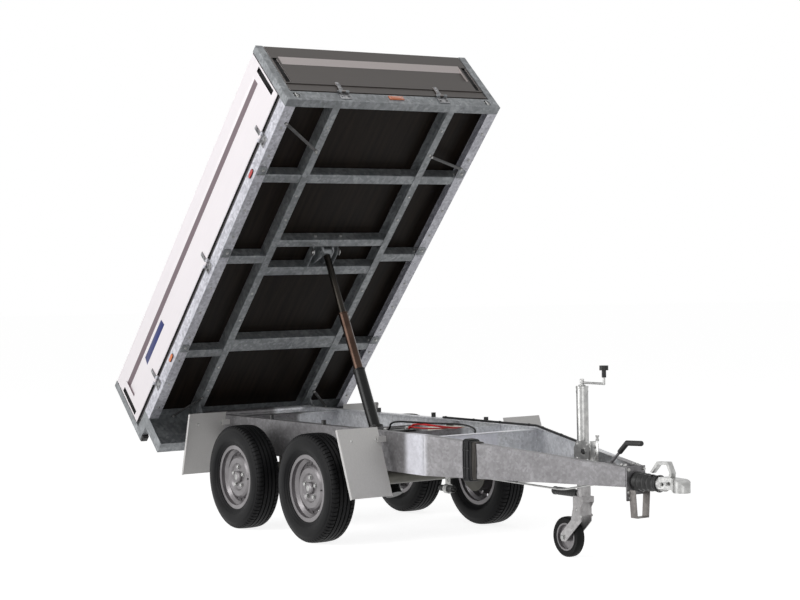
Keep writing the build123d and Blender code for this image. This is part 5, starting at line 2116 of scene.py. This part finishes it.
# Camera, floor and light
@dataclass
class Studio:
    """Camera at the photograph's angle over a pale floor in soft light."""

    datum: Datum
    lens: float = 86.2326
    place: Point = (9.24591, -5.99842, 1.44822)
    yaw_deg: float = 145.717
    pitch_deg: float = -0.8164
    roll_deg: float = -1.0999
    middle: Pair = (404.75, 300.68)
    picture: tuple[int, int] = (800, 600)
    floor_tone: float = 0.55
    floor_glow: float = 0.86
    air_light: float = 0.24

    def camera(self) -> None:
        """Set the camera from the angles found on the photograph."""
        yaw, pitch, roll = (math.radians(v) for v in (self.yaw_deg, self.pitch_deg, self.roll_deg))
        ahead = Vector((math.cos(pitch) * math.cos(yaw), math.cos(pitch) * math.sin(yaw), math.sin(pitch)))
        right = Vector((ahead.y, -ahead.x, 0)).normalized()
        up = right.cross(ahead)
        right_rolled = right * math.cos(roll) + up * math.sin(roll)
        up_rolled = up * math.cos(roll) - right * math.sin(roll)
        data = bpy.data.cameras.new("camera")
        data.lens = self.lens
        data.sensor_width = 36.0
        data.sensor_fit = "HORIZONTAL"
        wide, high = self.picture
        data.shift_x = (wide / 2 - self.middle[0]) / wide
        data.shift_y = (self.middle[1] - high / 2) / wide
        data.clip_end = 200
        camera = bpy.data.objects.new("camera", data)
        matrix = Matrix((right_rolled, up_rolled, -ahead)).transposed().to_4x4()
        matrix.translation = self.datum.point(*self.place)
        camera.matrix_world = matrix
        bpy.context.scene.collection.objects.link(camera)
        bpy.context.scene.camera = camera

    def seen(self, tree: bpy.types.NodeTree) -> Socket:
        """One where a surface is looked at, and nothing for the light that it sheds.

        Args:
            tree: nodes of the floor or the world.

        Returns:
            The value's socket.
        """
        path = tree.nodes.new("ShaderNodeLightPath")
        total = path.outputs["Is Camera Ray"]
        for kind in ("Is Glossy Ray", "Is Transmission Ray"):
            larger = tree.nodes.new("ShaderNodeMath")
            larger.operation = "MAXIMUM"
            tree.links.new(total, larger.inputs[0])
            tree.links.new(path.outputs[kind], larger.inputs[1])
            total = larger.outputs[0]
        return total

    def floor(self) -> None:
        """Lay the pale floor that shows as white and keeps the shadow."""
        data = bpy.data.meshes.new("floor")
        part = bmesh.new()
        bmesh.ops.create_circle(part, cap_ends=True, radius=70, segments=64)
        part.to_mesh(data)
        part.free()
        made = bpy.data.objects.new("floor", data)
        bpy.context.scene.collection.objects.link(made)
        material = bpy.data.materials.new("studio_floor")
        material.use_nodes = True
        tree = material.node_tree
        tree.nodes.clear()
        output = tree.nodes.new("ShaderNodeOutputMaterial")
        matt = tree.nodes.new("ShaderNodeBsdfDiffuse")
        matt.inputs["Color"].default_value = (self.floor_tone, self.floor_tone, self.floor_tone, 1)
        glow = tree.nodes.new("ShaderNodeEmission")
        dimmed = tree.nodes.new("ShaderNodeMath")
        dimmed.operation = "MULTIPLY"
        dimmed.inputs[1].default_value = self.floor_glow
        tree.links.new(self.seen(tree), dimmed.inputs[0])
        tree.links.new(dimmed.outputs[0], glow.inputs["Strength"])
        total = tree.nodes.new("ShaderNodeAddShader")
        tree.links.new(matt.outputs[0], total.inputs[0])
        tree.links.new(glow.outputs[0], total.inputs[1])
        tree.links.new(total.outputs[0], output.inputs["Surface"])
        data.materials.append(material)

    def world(self) -> None:
        """Light the air softly and show it as white."""
        world = bpy.data.worlds.new("studio")
        bpy.context.scene.world = world
        world.use_nodes = True
        tree = world.node_tree
        tree.nodes.clear()
        output = tree.nodes.new("ShaderNodeOutputWorld")
        back = tree.nodes.new("ShaderNodeBackground")
        span = tree.nodes.new("ShaderNodeMapRange")
        span.inputs["To Min"].default_value = self.air_light
        span.inputs["To Max"].default_value = 1.0
        back.inputs["Color"].default_value = (1, 1, 1, 1)
        tree.links.new(self.seen(tree), span.inputs["Value"])
        tree.links.new(span.outputs["Result"], back.inputs["Strength"])
        tree.links.new(back.outputs[0], output.inputs["Surface"])

    def lamp(self, name: str, place: Point, target: Point, size: float, power: float) -> None:
        """Hang one soft lamp.

        Args:
            name: its name.
            place: where it hangs.
            target: what it faces.
            size: side of its square in metres.
            power: watts.
        """
        data = bpy.data.lights.new(name, "AREA")
        data.size = size
        data.energy = power
        made = bpy.data.objects.new(name, data)
        start, end = self.datum.point(*place), self.datum.point(*target)
        made.matrix_world = axis_place(start, start - end)
        bpy.context.scene.collection.objects.link(made)

    def build(self) -> None:
        """Set up the whole studio."""
        self.camera()
        self.floor()
        self.world()
        # Name, place, target, size in metres and watts
        for lamp in (
            ("side_light", (-1.5, -8.0, 2.2), (-0.6, 0.0, 1.3), 5.0, 335),
            ("front_light", (7.5, -3.0, 1.6), (0.6, 0.0, 0.9), 3.0, 62),
            ("high_light", (0.4, -5.5, 5.0), (1.4, 0.0, 0.5), 2.5, 85),
            ("top_light", (1.5, -1.0, 6.5), (0.8, 0.0, 0.4), 4.0, 35),
        ):
            self.lamp(*lamp)
        bpy.context.scene.view_settings.view_transform = "Standard"


# The trailer
@dataclass
class Trailer:
    """Every piece of the trailer, dressed in order."""

    frame: dict[str, dict[str, bpy.types.Object]]
    finishes: Finishes = field(default_factory=Finishes)
    half_base: float = 0.3955
    half_track: float = 0.569
    axle_z: float = 0.297

    def __post_init__(self) -> None:
        """Find the drawing's zero from the wheels."""
        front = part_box("wheel_front_right_tyre")
        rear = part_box("wheel_rear_right_tyre")
        middle = sum(corner[0] for corner in (*front, *rear)) / 4
        self.datum = Datum(middle)
        self.bed = BedFrame(self.datum)

    def dress_frame(self) -> None:
        """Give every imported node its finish."""
        done = self.finishes
        table = (
            (done.axle, "axles"),
            (done.plastic, "battery handbrake_grip jockey_grip power_pack trailer_plug jockey_knob"),
            (done.black_rubber, "bellows rubber_buffers"),
            (done.zinc, "brake_rod coupling_head jockey_crank jockey_tube plug_holder"),
            (
                done.chassis_zinc_painted_light,
                "chassis_beams chassis_cross_members ram_cradle drawbar_head power_pack_tray",
            ),
            (done.foot_zinc, "coupling_foot"), (done.fitting_zinc, "jockey_fork"),
            (done.jockey_rubber, "jockey_tyre"), (done.rim, "jockey_rim"), (done.mudguard, "mudguards"),
            (done.cream, "oil_tank"), (done.cable, "cable_winding cable_loom"), (done.rail, "bed_rails"),
            (done.galvanised, "bed_end_beams bed_long_beams bed_cross_members ram_bracket corner_posts"),
            (done.ply, "bed_floor"), (done.orange, "side_markers"), (done.red, "rear_lamps"),
            (done.board, "right_board left_board tailgate"), (done.front_board, "front_board"),
            (done.ram_black, "ram_barrel ram_stage_1"), (done.ram_chrome, "ram_stage_2"),
            (done.ram_rod, "ram_rod"),
        )
        coats = {name: coat for coat, names in table for name in names.split()}
        for name, node in self.frame["nodes"].items():
            coat = coats.get(name, done.rim if name.endswith("_rim") else done.tyre)
            node.data.materials.clear()
            node.data.materials.append(coat.material)

    def corners(self) -> Iterable[tuple[str, Vector, int]]:
        """Go round the road wheels.

        Returns:
            Name, centre and side of each.
        """
        for end, fore in (("front", 1), ("rear", -1)):
            for hand, side in (("right", -1), ("left", 1)):
                centre = self.datum.point(fore * self.half_base, side * self.half_track, self.axle_z)
                yield f"{end}_{hand}", centre, side

    def build(self) -> None:
        """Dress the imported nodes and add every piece."""
        self.dress_frame()
        for corner, centre, side in self.corners():
            RoadTyre(corner, centre, self.finishes).build()
            RoadWheel(corner, centre, side, self.finishes).build()
        for part in (BoardFittings, BedUnderside, PostCaps, SignalLenses, RamTrim):
            part(self.bed, self.finishes).build()
        for part in (
            CableWinding, LoomClips, TrailerPlug, PowerUnit, MudguardBolts, JockeyTrim, CouplingTrim,
        ):
            part(self.datum, self.finishes).build()


def main() -> None:
    """Build the looks of the trailer and the studio round it."""
    logging.basicConfig(level=logging.INFO, format="%(name)s %(message)s")
    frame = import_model()
    trailer = Trailer(frame)
    Studio(trailer.datum).build()
    trailer.build()


if __name__ == "__main__":
    main()
